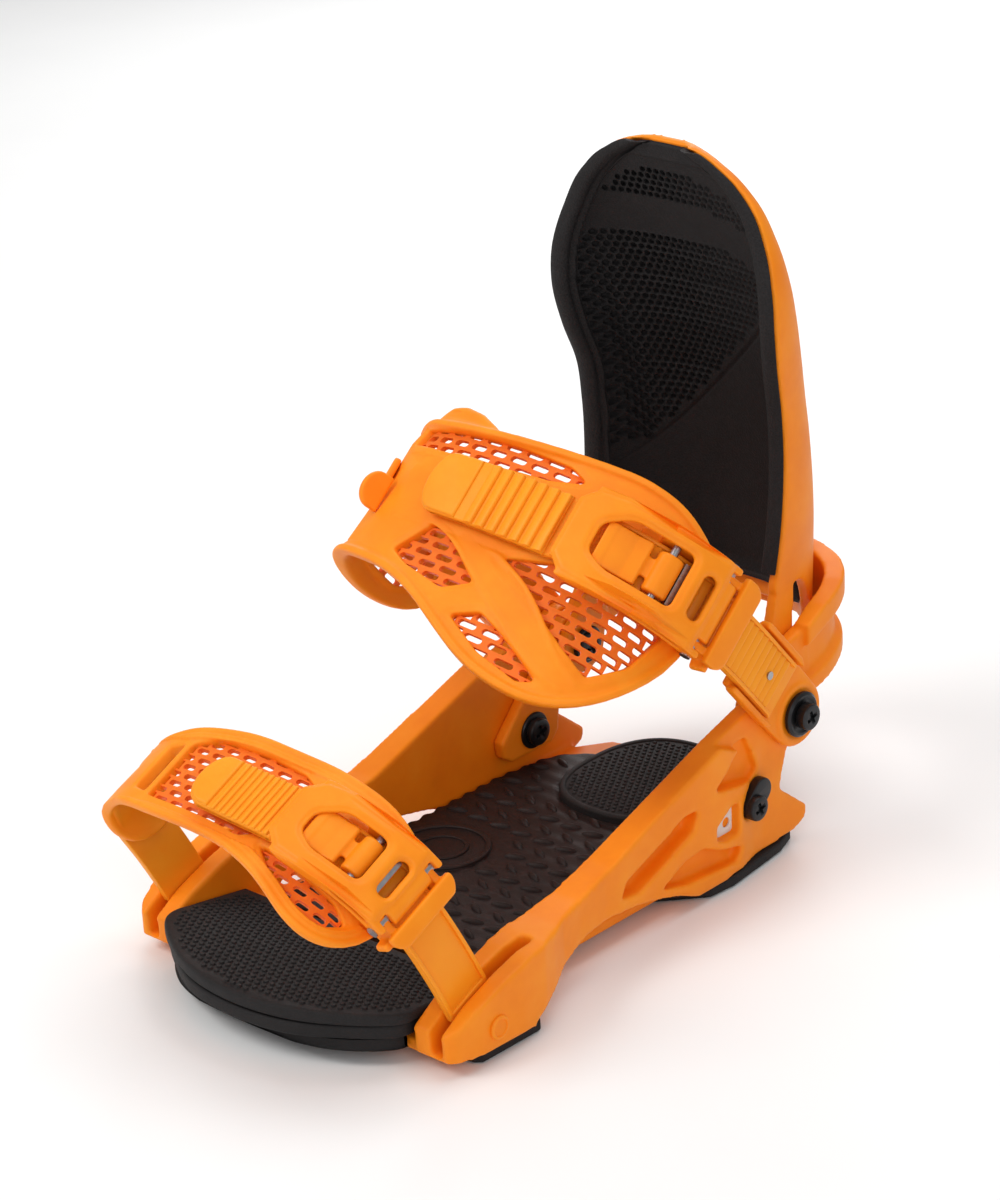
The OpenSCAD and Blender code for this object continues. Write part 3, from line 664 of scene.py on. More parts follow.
BUMP_FIELD, RIB_ROW = bump_field_tree(), rib_row_tree()


def field(region, part, step_x, step_y, material, turn=0.0):
    """A region covered with copies of one part, each second row half a step along."""
    co = coords(region)
    lo, hi = co.min(0), co.max(0)
    return BUMP_FIELD.run(Part=part, Region=region, Width=float(hi[0] - lo[0] + step_x),
                          Length=float(hi[1] - lo[1] + step_y), Step_X=step_x, Step_Y=step_y,
                          Centre=(float(lo[0] + hi[0]) / 2, float(lo[1] + hi[1]) / 2, 0.0),
                          Stagger=0.5, Turn=turn, Material=material)


def flat(outlines, z=0.0):
    """A flat region mesh from outlines."""
    return slab(outlines, z, z, bevel=0)


def hex_bump(r0, r1, h):
    """A low six-sided knob: base radius r0, top radius r1, height h."""
    turns = [2 * math.pi * (i + 0.5) / 6 for i in range(6)]
    v = [(r * math.cos(a), r * math.sin(a), z)
         for r, z in ((r0, -0.4), (r1 + (r0 - r1) * 0.25, h * 0.7), (r1, h)) for a in turns]
    return mesh_from("bump", v, drum(3, 6))


def swap(mesh):
    """Turns a slab drawn in (t, h) and thick along v into (t, v, h)."""
    shift(mesh, lambda p: p[:, [0, 2, 1]])
    mesh.flip_normals()
    return mesh


def outline_from(lo, hi, t0, t1):
    """Closed outline between two edge tables, with rounded corners."""
    t = np.linspace(t0, t1, 60)
    a, b = table(lo, t), table(hi, t)
    pts = np.concatenate([np.stack([t, a], 1), np.stack([t[::-1], b[::-1]], 1)])
    for _ in range(3):
        pts = (np.roll(pts, 1, 0) + 2 * pts + np.roll(pts, -1, 0)) / 4
    return pts


def inset(pts, d):
    """Moves a closed outline inwards by d."""
    pts = np.asarray(pts, float)
    e = np.roll(pts, -1, 0) - np.roll(pts, 1, 0)
    e /= np.linalg.norm(e, axis=1, keepdims=True) + 1e-9
    area = 0.5 * np.sum(pts[:, 0] * np.roll(pts[:, 1], -1) - np.roll(pts[:, 0], -1) * pts[:, 1])
    n = np.stack([-e[:, 1], e[:, 0]], 1) * (1 if area > 0 else -1)
    return pts + n * d


# ------------------------------------------------------------------ highback
HALF = [[42, 43.6], [70, 43.8], [92, 44.6], [115, 46], [145, 47], [160, 47.6], [175, 49.8], [190, 51.2],
        [205, 50.4], [220, 46], [235, 37.5], [244, 27], [250, 14], [251, 10]]
FRONT = [[42, 106], [70, 108], [92, 110], [115, 113], [145, 114], [160, 112.5], [175, 108], [190, 105],
         [205, 105], [220, 107], [235, 108], [251, 107]]
BACK = [[42, 157.4], [70, 157.2], [92, 156.6], [115, 154], [145, 148.5], [175, 141], [205, 132],
        [225, 124.5], [240, 118.5], [251, 113.5]]


def shell_point(u, z, t):
    """Point of the highback at side parameter u (-1..1), height z, depth t below its outer face."""
    w = table(HALF, z) - t
    y0 = table(FRONT, z)
    y1 = np.maximum(table(BACK, z) - t, y0 + 1.5)
    s, c = np.sin(np.abs(u) * math.pi / 2), np.maximum(np.cos(u * math.pi / 2), 0)
    return np.stack([w * np.sign(u) * s ** 0.82, y0 + (y1 - y0) * c ** 0.82, z], -1)


def shell_low(u):
    return 66 + 26.4 * step((np.abs(u) - 0.45) / 0.4)


def shell_grid(t, z1):
    """Points of one face of the shell, t below the outer face, up to height z1; rows are closer at the top."""
    u = np.linspace(1.0, -1.0, 120)[None, :]
    k = 1 - np.linspace(1, 0, 150)[:, None] ** 1.6
    z0 = shell_low(u)
    z = z0 + (z1 - z0) * k
    return shell_point(u + 0 * k, z, t + 0 * z) * MM


def highback_shell():
    """The shell with its two pivot ears and the rib down its back."""
    skin = closed_grid(shell_grid(0.0, 250.8), shell_grid(4.0, 249.8))
    ear = prism(arc(*PIVOT, 11.5, range(-150, -19, 10))
                + [(116, 62), (120.5, 76), (121, 96), (112.5, 98), (107.5, 78)]
                + arc(*PIVOT, 11.5, range(120, 181, 12)), 39.9, 44.2)
    rib = prism([(154.5, 96), (157.3, 96), (148.5, 150), (140, 182), (131.5, 212), (129, 212), (138, 180),
                 (146, 150)], -7, 7, bevel=0.8)
    return fuse([skin, ear, mirrored(ear), rib], 0.85, smooth=5, ratio=0.42)


make("highback_shell", highback_shell(), ORANGE, "highback",
     ("highback_right", "highback_left", "highback_ears"))


def highback_liner():
    """Moulded foam liner: rolled rim, dimple fields and a diagonal crease, cut into the surface itself."""
    rows, top, dimple = 481, 249.0, 1.2
    # columns evenly spaced round the section, closer together at the two wrapped edges
    dense = np.linspace(1, -1, 4001)
    arc = shell_point(dense, 200.0 + 0 * dense, 7.0 + 0 * dense)
    arc = np.concatenate([[0], np.cumsum(np.linalg.norm(np.diff(arc, axis=0), axis=1))])
    near = np.linspace(0, 4.2, 16)[:-1]
    place = np.concatenate([near, np.linspace(4.2, arc[-1] - 4.2, 241), arc[-1] - near[::-1]])
    u = np.interp(place, arc, dense)[None, :] + np.zeros((rows, 1))
    k = 1 - np.linspace(1, 0, rows)[:, None] ** 1.5
    z0 = shell_low(u) + 7
    z = z0 + (top - z0) * k
    # the rim stands proud of the field inside it
    p = shell_point(u, z, 6.0 + 0 * z)
    x = p[..., 0]
    run = np.concatenate([np.zeros((rows, 1)), np.cumsum(np.linalg.norm(np.diff(p, axis=1), axis=2), axis=1)],
                         axis=1)
    side_gap = np.minimum(run, run[:, -1:] - run)
    gap = np.minimum(np.minimum(side_gap, (top - z) * 0.8), (z - z0) * 0.9)
    wrap = np.clip(1 - side_gap / 3.6, 0, 1)
    t = 7.3 + 0.9 * step(1 - np.abs(gap - 3.9) / 2.3) - 2.8 * step(1 - gap / 1.1) * (wrap == 0)
    t = t - 0.4 * np.exp(-((gap - 5.0) / 0.45) ** 2)
    # diagonal crease, with the lower half of the liner a little deeper
    crease = (z - 190) - 0.97 * (x - 34) + 0.12 * np.maximum(x - 33, 0) ** 2
    t = t - 0.95 * np.exp(-(crease / 1.0) ** 2) * (gap > 5)
    t = t - 0.6 * step((-crease + 0.5) / 3.0) * step((gap - 5) / 3)
    # dimples on a staggered grid
    pitch_x, pitch_z = 3.1, 2.55
    row = np.round(z / pitch_z)
    dx = (x + (row % 2) * pitch_x / 2) / pitch_x
    cx = (dx - np.round(dx)) * pitch_x
    cz = z - row * pitch_z
    fx, fz = x - cx, row * pitch_z
    cap = np.sqrt(((fx + 2) / 38.0) ** 2 + ((fz - 213) / 25.5) ** 2)
    top_field = (fz > 225.5 - 4 * step((fx - 8) / 20)) & (cap < 1.0) & (fz < 239)
    big = (fz < 211.5 - 8.5 * step((fx - 5) / 35)) & (fz - 193.5 > 0.97 * (fx - 34)) & (fx < 46)
    big &= (fx > -52 + 1.3 * np.floor(np.maximum(186 - fz, 0) / 14)) & (fz > 127)
    r = np.sqrt(cx ** 2 + cz ** 2)
    dim = (top_field | big) * (gap > 5.8)
    t = t - dim * (1.7 * step((dimple - r) / 0.5) - 0.3 * np.exp(-((r - 1.38) / 0.22) ** 2))
    # the two side edges wrap forwards over the rim of the shell
    front = table(FRONT, z)

    def lip(depth, forward, start):
        """Depth and forward travel of one face along the wrap, as tables over 0..1."""
        q = shell_point(u, z, np.where(wrap > 0, table(depth, wrap) + start * (1 - step(wrap / 0.3)), start))
        q[..., 1] = np.where(wrap > 0, front + table(forward, wrap), q[..., 1])
        return q
    outer = lip([[0, 0], [0.3, 7.3], [0.5, 7.0], [0.7, 5.2], [0.85, 2.8], [1, 0.6]],
                [[0, 3.6], [0.3, 1.0], [0.5, -0.9], [0.7, -1.9], [0.85, -1.9], [1, -1.0]], t)
    inner = lip([[0, 0], [0.3, 4.4], [0.6, 4.3], [0.8, 3.0], [1, 1.0]],
                [[0, 3.6], [0.3, 1.4], [0.5, -0.2], [0.7, -0.25], [1, -0.25]], 4.3 + 0 * z)
    # the liner lies in front of the shell: the deeper face is the one the calf touches
    return modified(coarse_back(outer * MM, inner * MM, 10), ("DECIMATE", {"ratio": 0.7}))


def coarse_back(outer, inner, k):
    """Closed skin with a fine outer grid; the hidden inner grid keeps every k-th point."""
    n, m = outer.shape[:2]
    small = inner[::k, ::k]
    a, b = small.shape[:2]
    v = np.concatenate([outer.reshape(-1, 3), small.reshape(-1, 3)])
    i, j = np.meshgrid(np.arange(n - 1), np.arange(m - 1), indexing="ij")
    c = (i * m + j).ravel()
    f = np.stack([c, c + 1, c + m + 1, c + m], 1).tolist()
    i, j = np.meshgrid(np.arange(a - 1), np.arange(b - 1), indexing="ij")
    c = n * m + (i * b + j).ravel()
    f += np.stack([c, c + b, c + b + 1, c + 1], 1).tolist()
    for s in range(a - 1):
        for col, cs in ((0, 0), (m - 1, b - 1)):
            chain = [(s * k + e) * m + col for e in range(k + 1)]
            f.append(chain + [n * m + (s + 1) * b + cs, n * m + s * b + cs])
    for s in range(b - 1):
        for row, rs in ((0, 0), (n - 1, a - 1)):
            chain = [row * m + s * k + e for e in range(k + 1)]
            f.append(chain + [n * m + rs * b + s + 1, n * m + rs * b + s])
    return tidy(mesh_from("grid", v, f))


liner = make("highback_liner", highback_liner(), EVA, "highback",
             ("highback_pad_right", "highback_pad_left"), smooth=60)


# ------------------------------------------------------------------ ankle strap pad
ANK_LO = [[66, -12], [72, -24], [80, -36], [90, -48], [100, -56], [112, -61], [124, -61], [140, -57],
          [155, -49], [170, -41], [185, -36], [200, -34], [213, -32.5], [228, -32], [245, -33], [262, -33.5],
          [274, -31], [283, -25], [288, -18]]
ANK_HI = [[66, 13], [74, 18], [84, 23], [96, 28], [110, 30], [140, 29], [170, 27], [200, 26], [213, 26.5],
          [224, 26.5], [240, 23], [256, 18], [272, 11], [288, 2]]
ANK_WINDOWS = [
    [(218, 15), (218, 22), (190, 22.6), (165, 23.2), (143, 23), (134, 19.5), (147, 15.6), (170, 13.5),
     (195, 13.5)],
    [(189, -27), (181, -13), (172, -15), (152, -29), (161, -35), (180, -31)],
    [(152, -43), (143, -38), (133, -42), (113, -52.5), (119, -55.5), (136, -51.5)],
    [(150, -17), (124, -9), (102, -8), (79, -14), (86, -31), (99, -42.5), (112, -37)],
    [(236, -16), (247, -24), (266, -25), (277, -19), (276, -7), (264, 3), (248, 11), (236, 12), (229, 4),
     (229, -8)]]


def perforated(windows, bend, h, step_t, step_v, hole):
    """Thin webbing across the windows of a pad: a staggered field of tiles, each with one long hole."""
    tile = slab([rounded(-step_t / 2 - 0.02, step_t / 2 + 0.02, -step_v / 2 - 0.02, step_v / 2 + 0.02, 0.01,
                         1),
                 rounded(-hole[0] / 2, hole[0] / 2, -hole[1] / 2, hole[1] / 2, hole[1] / 2 - 0.01, 4)],
                -1.05, 1.05, bevel=0.0, cell=3)
    region = flat([inset(np.array(w), -1.2) for w in windows])
    m = moved(field(region, tile, step_t, step_v, MESH), 0, 0, h)
    edit(m, lambda bm: bmesh.ops.remove_doubles(bm, verts=bm.verts, dist=0.06))
    return bend(m)


def soft_corner(poly, r=1.6, n=4):
    """Rounds the corners of a window outline."""
    poly = np.array(poly, float)
    out = []
    for i, p in enumerate(poly):
        a, b = poly[i - 1], poly[(i + 1) % len(poly)]
        da, db = (a - p), (b - p)
        la, lb = np.linalg.norm(da), np.linalg.norm(db)
        k = min(r, la * 0.45, lb * 0.45)
        p0, p1 = p + da / la * k, p + db / lb * k
        for s in np.linspace(0, 1, n + 1):
            out.append((1 - s) ** 2 * p0 + 2 * s * (1 - s) * p + s * s * p1)
    return np.array(out)


def strap_pad(lo, hi, t0, t1, windows, h0, h1, extra=(), rim=1.4, rim_in=3.2, keep_v=15.5, keep_h=-4.3,
              voxel=0.6, ratio=0.42):
    """Moulded rubber pad in flat strap coordinates: body, stepped window edges and a rolled rim."""
    edge = outline_from(lo, hi, t0, t1)
    win = [soft_corner(w, 1.5) for w in windows]
    parts = [slab([inset(edge, 0.1)] + win, h0, h1 - 0.7, bevel=1.2)]
    # deep walls round each window
    parts += [slab([inset(w, -1.7), w], h0 - 1.2, h1 - 0.4, bevel=0.5) for w in win]
    parts += [
        slab([inset(edge, 1.2)] + [inset(w, -1.9) for w in win], h0 + 1, h1, bevel=0.6),
        slab([edge, inset(edge, rim_in)], h0 + 0.6, h1 + rim, bevel=1.1)]
    for e in extra:
        parts.append(e)
    m = fuse([scaled(p) for p in parts], voxel, smooth=4, ratio=ratio)
    scaled(m, 1000)

    def press(p):
        lim = np.where(np.abs(p[:, 1]) < keep_v, keep_h, 99.0)
        p[:, 2] = np.minimum(p[:, 2], lim)
        return p
    shift(m, press)
    return m


def ankle_pad():
    flap = slab([[(172, 24), (182, 28.5), (192, 32), (204, 34), (214, 33.5), (221, 30), (223, 24),
                  (205, 22)]],
                -7.6, -5.2, bevel=1.0)
    ridges = []
    # raised lines along the diagonal brace and round the big window
    for pts, w in (([(203, -12), (176, -14), (152, -27), (120, -47), (104, -52)], 0.9),
                   ([(205, 4), (182, -2), (158, -13), (133, -24), (112, -41), (100, -47)], 0.9)):
        p = catmull(pts, np.linspace(0, len(pts) - 1, 30))
        d = np.gradient(p, axis=0)
        n = np.stack([-d[:, 1], d[:, 0]], 1) / np.linalg.norm(d, axis=1)[:, None]
        ridges.append(slab([np.concatenate([p + n * w, (p - n * w)[::-1]])], -6, -3.75, bevel=0.6))
    m = strap_pad(ANK_LO, ANK_HI, 66, 288, ANK_WINDOWS, -8.2, -4.2, [flap] + ridges)
    return ANK.bend(m)


pad = make("ankle_strap_pad", ankle_pad(), RUBBER, "ankle_strap", ("ankle_pad",), smooth=70)
make("ankle_strap_mesh", perforated(ANK_WINDOWS, ANK.bend, -7.9, 9.4, 3.9, (7.0, 2.45)), MESH, "ankle_strap")


# ------------------------------------------------------------------ toe strap pad
TOE_LO = [[50, -10], [55, -19], [62, -26], [72, -30], [84, -29], [96, -24], [108, -20], [122, -17],
          [140, -17], [155, -17], [168, -16], [182, -14], [200, -12.5], [213, -13], [222, -11.5],
          [229, -7.5], [232, -3]]
TOE_HI = [[50, 13], [58, 18], [68, 22], [80, 25], [95, 26], [115, 26], [140, 25], [152, 23], [165, 20],
          [176, 16], [190, 14], [206, 15], [220, 14.5], [228, 12.5], [232, 9]]
TOE_WINDOWS = [
    [(163.2, -9.5), (171.8, -8), (171.8, 10), (163.2, 12)],
    [(160.5, -11), (160.5, 13), (150, 18), (128, 19.5), (112, 18.5), (104, 15), (112, 10), (112, -8),
     (118, -11.5), (145, -12)],
    [(108, -11), (92, -12.5), (72, -14.5), (64, -18), (72, -24.5), (84, -22.5), (98, -17.5)]]


def toe_pad():
    edge = outline_from(TOE_LO, TOE_HI, 50, 232)
    grooves = []
    for d in (3.4, 4.9):
        a = inset(edge, d)
        grooves.append(slab([a, inset(a, 0.8)], -5, -3.1, bevel=0.35))
    m = strap_pad(TOE_LO, TOE_HI, 50, 232, TOE_WINDOWS, -7.4, -3.9, grooves, rim=0.9, rim_in=2.6,
                  keep_v=14, keep_h=-4.0, voxel=0.55)
    return TOE.bend(m)


pad = make("toe_strap_pad", toe_pad(), RUBBER, "toe_strap", ("toe_pad",), smooth=70)
make("toe_strap_mesh", perforated(TOE_WINDOWS[1:], TOE.bend, -7.1, 7.8, 3.7, (5.6, 2.2)), MESH, "toe_strap")


# ------------------------------------------------------------------ ladders and tails
def rib(depth, pitch, width, r=0.5):
    """One saw-tooth rib lying across a ladder, standing on h = 0."""
    a = [(-pitch * 0.46, -0.5), (pitch * 0.46, -0.5), (pitch * 0.44, 0.05), (-pitch * 0.20, depth),
         (-pitch * 0.34, depth), (-pitch * 0.44, depth * 0.55)]
    m = tidy(mesh_from("rib", [(x, y, z) for y in (-width / 2, width / 2) for x, z in a], bar(len(a))))
    return modified(m, ("BEVEL", {"width": r * 0.45, "segments": 2}))


def ladder(strap, t0, t1, half, tip, fine, coarse, material, holes=()):
    """Ladder strap: body with side rails, fine ribs towards the buckle and broad ones on the free end."""
    a = [(t0, -half), (t0, half), (tip - 4, half), (tip + 1, half + 0.8), (t1 - 7, half + 0.8)]
    a += [(t1 - 7 + 7 * math.sin(x), (half + 0.8) * math.cos(x)) for x in np.linspace(0.25, math.pi - 0.25,
                                                                                      11)]
    a += [(t1 - 7, -half - 0.8), (tip + 1, -half - 0.8), (tip - 4, -half)]
    parts = [slab([np.array(a)] + list(holes), -1.45, 0.75, bevel=0.4, cell=2.0)]
    free = [(tip, -half - 0.8), (tip, half + 0.8), (t1 - 7, half + 0.8)]
    free += [(t1 - 7 + 7 * math.sin(x), (half + 0.8) * math.cos(x))
             for x in np.linspace(0.25, math.pi - 0.25, 11)] + [(t1 - 7, -half - 0.8)]
    parts.append(slab([np.array(free)], -1.2, 1.9, bevel=0.7, cell=2.0))
    for s in (-1, 1):
        r = [(t0 + 2, s * (half - 1.6)), (t0 + 2, s * (half - 0.15)), (tip - 2, s * (half - 0.15)),
             (tip - 2, s * (half - 1.6))]
        parts.append(slab([np.array(r)], 0.4, 1.75, bevel=0.4, cell=2.0))
    f0, f1, fp = fine
    parts.append(RIB_ROW.run(Part=rib(1.0, fp, 2 * half - 3.4), Count=int((f1 - f0) / fp),
                             Start=(f0, 0.0, 0.7), Step=(fp, 0.0, 0.0), Material=material))
    c0, c1, cp, ch = coarse
    parts.append(RIB_ROW.run(Part=rib(ch, cp, 2 * half + 1.2, 1.0), Count=int((c1 - c0) / cp),
                             Start=(c0, 0.0, 1.7), Step=(cp, 0.0, 0.0), Material=material))
    # smooth thumb pad behind the last rib
    tail = [(c1 - cp * 0.6, -half - 0.5), (c1 - cp * 0.6, half + 0.5), (t1 - 7.5, half + 0.4)]
    tail += [(t1 - 7.5 + 6.6 * math.sin(x), (half + 0.4) * math.cos(x))
             for x in np.linspace(0.25, math.pi - 0.25, 11)] + [(t1 - 7.5, -half - 0.4)]
    parts.append(slab([np.array(tail)], 0.5, 2.9, bevel=0.9, cell=2.0))
    return strap.bend(join(*parts))


make("ankle_ladder_strap", ladder(ANK, 17, 188, 10.8, 133, (24, 124, 3.6), (135.5, 172, 4.7, 1.5), LADDER),
     LADDER, "ankle_strap", ("ankle_ladder",), smooth=40)


def tower_eye(side):
    return lathe([(65.25 * side, 3.1), (68.0 * side, 3.1), (68.0 * side, 5.2), (67.7 * side, 5.5),
                  (65.55 * side, 5.5), (65.25 * side, 5.2)], 40, TOWER_PIN)


def toe_ladder():
    root = slab([[(0, -5.2), (0, 5.2), (8, 5.4), (10, 9.3), (12, 9.3), (12, -9.3), (10, -9.3), (8, -5.4)]],
                -1.35, 1.55, bevel=0.4, cell=2)
    body = ladder(TOE, 9, 141, 9.5, 102, (62, 98, 3.2), (104.5, 131, 2.55, 0.95), LADDER)
    return join(TOE.bend(root), body, tower_eye(1))


make("toe_ladder_strap", toe_ladder(), LADDER, "toe_strap", ("toe_ladder",), smooth=40)


def tail(strap, t0, t1, half, extra=()):
    o = rounded(t0, t1, -half, half, 2.0)
    a = slab([o], -1.45, 1.0, bevel=0.5, cell=2.5)
    rails = [slab([rounded(t0 + 1, t1 - 1, s * (half - 0.9) - 0.8, s * (half - 0.9) + 0.8, 0.5)], 0.4, 1.6,
                  bevel=0.4, cell=2.5) for s in (-1, 1)]
    ribs = RIB_ROW.run(Part=rib(0.8, 3.6, 2 * half - 3.4), Count=max(int((t1 - t0 - 24) / 3.6), 1),
                       Start=(t0 + 22, 0.0, 0.85), Step=(3.6, 0.0, 0.0), Material=LADDER)
    m = join(a, ribs, *rails, *extra)
    # its first length hugs the pad
    shift(m, lambda p: p - np.stack([0 * p[:, 0], 0 * p[:, 0], 2.4 * step(1 - (p[:, 0] - t0) / 16)], 1))
    return strap.bend(m)


make("ankle_tail_strap", tail(ANK, 240, ANK.length - 17, 10.8), ORANGE, "ankle_strap", ("ankle_tail",),
     smooth=40)


def toe_tail():
    t1 = TOE.length
    root = slab([[(t1, -5.2), (t1, 5.2), (t1 - 8, 5.4), (t1 - 10, 9.3), (t1 - 12, 9.3), (t1 - 12, -9.3),
                  (t1 - 10, -9.3), (t1 - 8, -5.4)]], -1.35, 1.55, bevel=0.4, cell=2)
    return join(TOE.bend(root), tail(TOE, 211, t1 - 9, 9.5), tower_eye(-1))


make("toe_tail_strap", toe_tail(), LADDER, "toe_strap", ("toe_tail",), smooth=40)


# ------------------------------------------------------------------ buckles
def moulded_block(parts, bend, voxel=0.45, ratio=0.4, smooth=3, drop=(0.0, 0.0, 1.0)):
    m = fuse([scaled(p) for p in parts], voxel, smooth=smooth, ratio=ratio)
    fall, a, b = drop
    shift(scaled(m, 1000), lambda p: p - np.stack([0 * p[:, 0], 0 * p[:, 0],
                                                   fall * step((p[:, 0] - a) / (b - a))],
                                                  1))
    return bend(m)


def barrel(t, h, r, reach, half):
    """Hinge barrel of a lever: a hub round the pin with a thicker web up to the lever plate."""
    o = [(t + reach * math.cos(math.radians(d)), h + reach * math.sin(math.radians(d)))
         for d in range(20, 151, 10)]
    o += [(t + r * math.cos(math.radians(d)), h + r * math.sin(math.radians(d))) for d in range(160, 371, 15)]
    return swap(slab([np.array(o)], -half, half, bevel=0.4))


def lever(t0, t1, half, h0, h1, window, slot, skirt, crescent, hub):
    """Buckle lever: octagonal frame with a window and an end slot, and a skirt down each side."""
    ta, tb = t0 + 0.6, t1
    o = np.array([(ta, -half + 1.4), (ta, half - 1.4), (ta + 1.6, half), (tb - 15, half),
                  (tb - 6, half - 1.0),
                  (tb, half - 7), (tb, -half + 7), (tb - 6, -half + 1.0), (tb - 15, -half),
                  (ta + 1.6, -half)])
    w0, w1, v0, v1 = window
    win = [(w0, v0), (w0, v1), (w1 - 8, v1), (w1, v1 - 5.5), (w1, v0 + 4), (w1 - 7, v0)]
    lip = inset(soft_corner(win, 2.6), -1.5)
    end = rounded(slot[0], slot[1], slot[2], slot[3], (slot[1] - slot[0]) / 2 - 0.05, 5)
    parts = [slab([o, soft_corner(win, 2.6), end], h0, h1 - 0.7, bevel=0.7),
             slab([inset(o, 1.5), lip, inset(end, -0.9)], h0 + 1, h1, bevel=0.6)]
    s0, s1, low = skirt
    side = [(s0, low + 0.6), (s0 + 0.8, low), (s1 - 12, low + 0.2), (s1 - 3, low + 2.6), (s1, h0 + 1.6),
            (s0, h0 + 1.6)]
    cut = soft_corner(crescent, 1.2)
    for s in (-1, 1):
        p = slab([np.array(side), cut], -1.35, 1.35, bevel=0.6)
        swap(p)
        parts.append(shift(p, lambda q, s=s: q + np.array([0, s * (half - 1.4), 0])))
    return parts + [barrel(*hub)]


def release(t0, t1, gap, half, low, top):
    """Release plate: a dished thumb rest that runs down to the gap, and the rounded block in front of it."""
    a, b = gap
    dish = [(b + 0.2, low + 0.2), (t1, low + 0.2), (t1 + 0.6, low + 2.4), (t1 - 2.2, low + 2.5)]
    c = catmull([(t1 - 3, low + 2.1), (t1 - 9, low + 1.2), (b + 5, low + 1.3), (b + 1, low + 2.2)],
                np.linspace(0, 3, 14))
    d = swap(slab([np.concatenate([dish, c, [(b + 0.2, low + 1.6)]])], -half, half, bevel=0.35))
    block = [(t0, low - 0.6), (t0 - 0.0, top - 2.2), (t0 + 1.6, top - 0.3), (a - 3, top + 0.2),
             (a - 0.8, top - 1),
             (a, top - 3), (a, low - 0.6)]
    e = swap(slab([soft_corner(block, 1.5)], -half + 0.5, half - 0.5, bevel=0.9))
    neck = swap(slab([np.array([(a - 2, low), (b + 3, low), (b + 3, low + 1.3), (a - 2, low + 1.3)])],
                     -half * 0.45,
                     half * 0.45, bevel=0.3))
    return [d, e, neck]


def buckle_base(t0, t1, half, floor, plate, cheek_end, cheek_top):
    """Buckle base: floor, two cheeks that carry the pins, and the front plate over the ladder."""
    parts = [slab([rounded(t0 + 2, t1, -half, half, 1.5)], floor[0], floor[1], bevel=0.4)]
    prof = [(t0, floor[0] + 0.2), (cheek_end - 2, floor[0] + 0.2), (cheek_end, floor[0] + 2),
            (cheek_end, cheek_top - 2.4), (cheek_end - 2, cheek_top), (t0, cheek_top)]
    for s in (-1, 1):
        p = swap(slab([soft_corner(prof, 1.0)], -1.5, 1.5, bevel=0.5))
        parts.append(shift(p, lambda q, s=s: q + np.array([0, s * (half - 1.6), 0])))
    p0, p1, pv, ph0, ph1 = plate
    o = [(p0 + 0.1, -pv + 3.6), (p0, pv - 3.0), (p0 + 1.7, pv - 1.2), (p0 + 3.6, pv), (p1, pv), (p1, -pv),
         (p0 + 3.4, -pv), (p0 + 1.2, -pv + 1.4)]
    parts.append(slab([soft_corner(o, 0.8)], ph0 - 0.4, ph1, bevel=0.6))
    hook = [(p0 + 2.2, -pv - 1.5), (p0 + 2.2, -pv + 3), (p0 + 5, -pv + 3), (p0 + 4.6, -pv - 1.2)]
    parts.append(slab([soft_corner(hook, 0.8)], floor[0] + 2.2, ph0 - 1.6, bevel=0.5))
    return parts


make("ankle_buckle_lever", moulded_block(lever(
    75.8, 129.5, 17.8, 7.6, 10.3, (89.4, 118.5, -9.2, 11), (79.6, 84.2, -8, 8.6), (73.2, 125, 2.6),
    [(80, 4.6), (96, 4.4), (99.5, 6.3), (93, 7.0), (82, 7.0), (78.6, 6.2)], (75, 5, 2.6, 4.4, 11.0)),
    ANK.bend, drop=(2.4, 100, 127)),
    BUCKLE, "ankle_lever", ("ankle_lever",), smooth=60)
make("ankle_buckle_release", moulded_block(release(90.7, 116.4, (99.2, 101.4), 8.1, 3.9, 8.4), ANK.bend, 0.4),
     BUCKLE, "ankle_release", ("ankle_release",), smooth=60)
make("ankle_buckle_body", moulded_block(buckle_base(
    62, 107.5, 14.5, (-3.9, -2.1), (62.4, 70.5, 16.8, 7.3, 10.1), 100, 7.1), ANK.bend),
    BUCKLE, "ankle_strap", ("ankle_buckle_base",), smooth=60)
make("toe_buckle_lever", moulded_block(lever(
    58.7, 102.5, 16.2, 7.0, 9.4, (70.6, 93.4, -8.6, 8.6), (61.8, 65.8, -7, 7), (56.2, 98, 2.4),
    [(62, 4.3), (73, 4.1), (76.5, 5.9), (71, 6.5), (64, 6.5), (60.6, 5.7)], (58, 4.6, 2.5, 4.0, 9.7)),
    TOE.bend, drop=(2.2, 80, 101)),
    BUCKLE, "toe_lever", ("toe_lever",), smooth=60)
make("toe_buckle_release", moulded_block(release(70.5, 92.4, (77.4, 79.2), 7.5, 3.5, 7.6), TOE.bend, 0.4),
     BUCKLE, "toe_release", ("toe_release",), smooth=60)
make("toe_buckle_body", moulded_block(buckle_base(
    48, 87.5, 13.1, (-3.7, -2.0), (47.8, 53.8, 15.4, 6.7, 9.3), 79, 6.5), TOE.bend),
    BUCKLE, "toe_strap", ("toe_buckle_base",), smooth=60)


def adjuster():
    plate = slab([rounded(221, 246, -9, 9, 2.5)], -4.3, -1.7, bevel=0.6)
    ear = [(-14, -4.2), (-14, 0)] + [(-7 + 7 * math.cos(x), 5.3 * math.sin(x))
                                     for x in np.linspace(math.pi, 0, 14)][1:-1] + [(0, 0), (0, -4.2)]
    e = slab([np.array(ear)], -1.4, 1.4, bevel=0.8)
    shift(e, lambda p: np.stack([p[:, 2] + 216.4, p[:, 0], p[:, 1]], 1))
    tidy(e, 1e-5)
    return moulded_block([plate, e], ANK.bend, 0.45)


make("ankle_strap_adjuster", adjuster(), ORANGE, "ankle_strap", ("ankle_adjuster",),
     smooth=60)


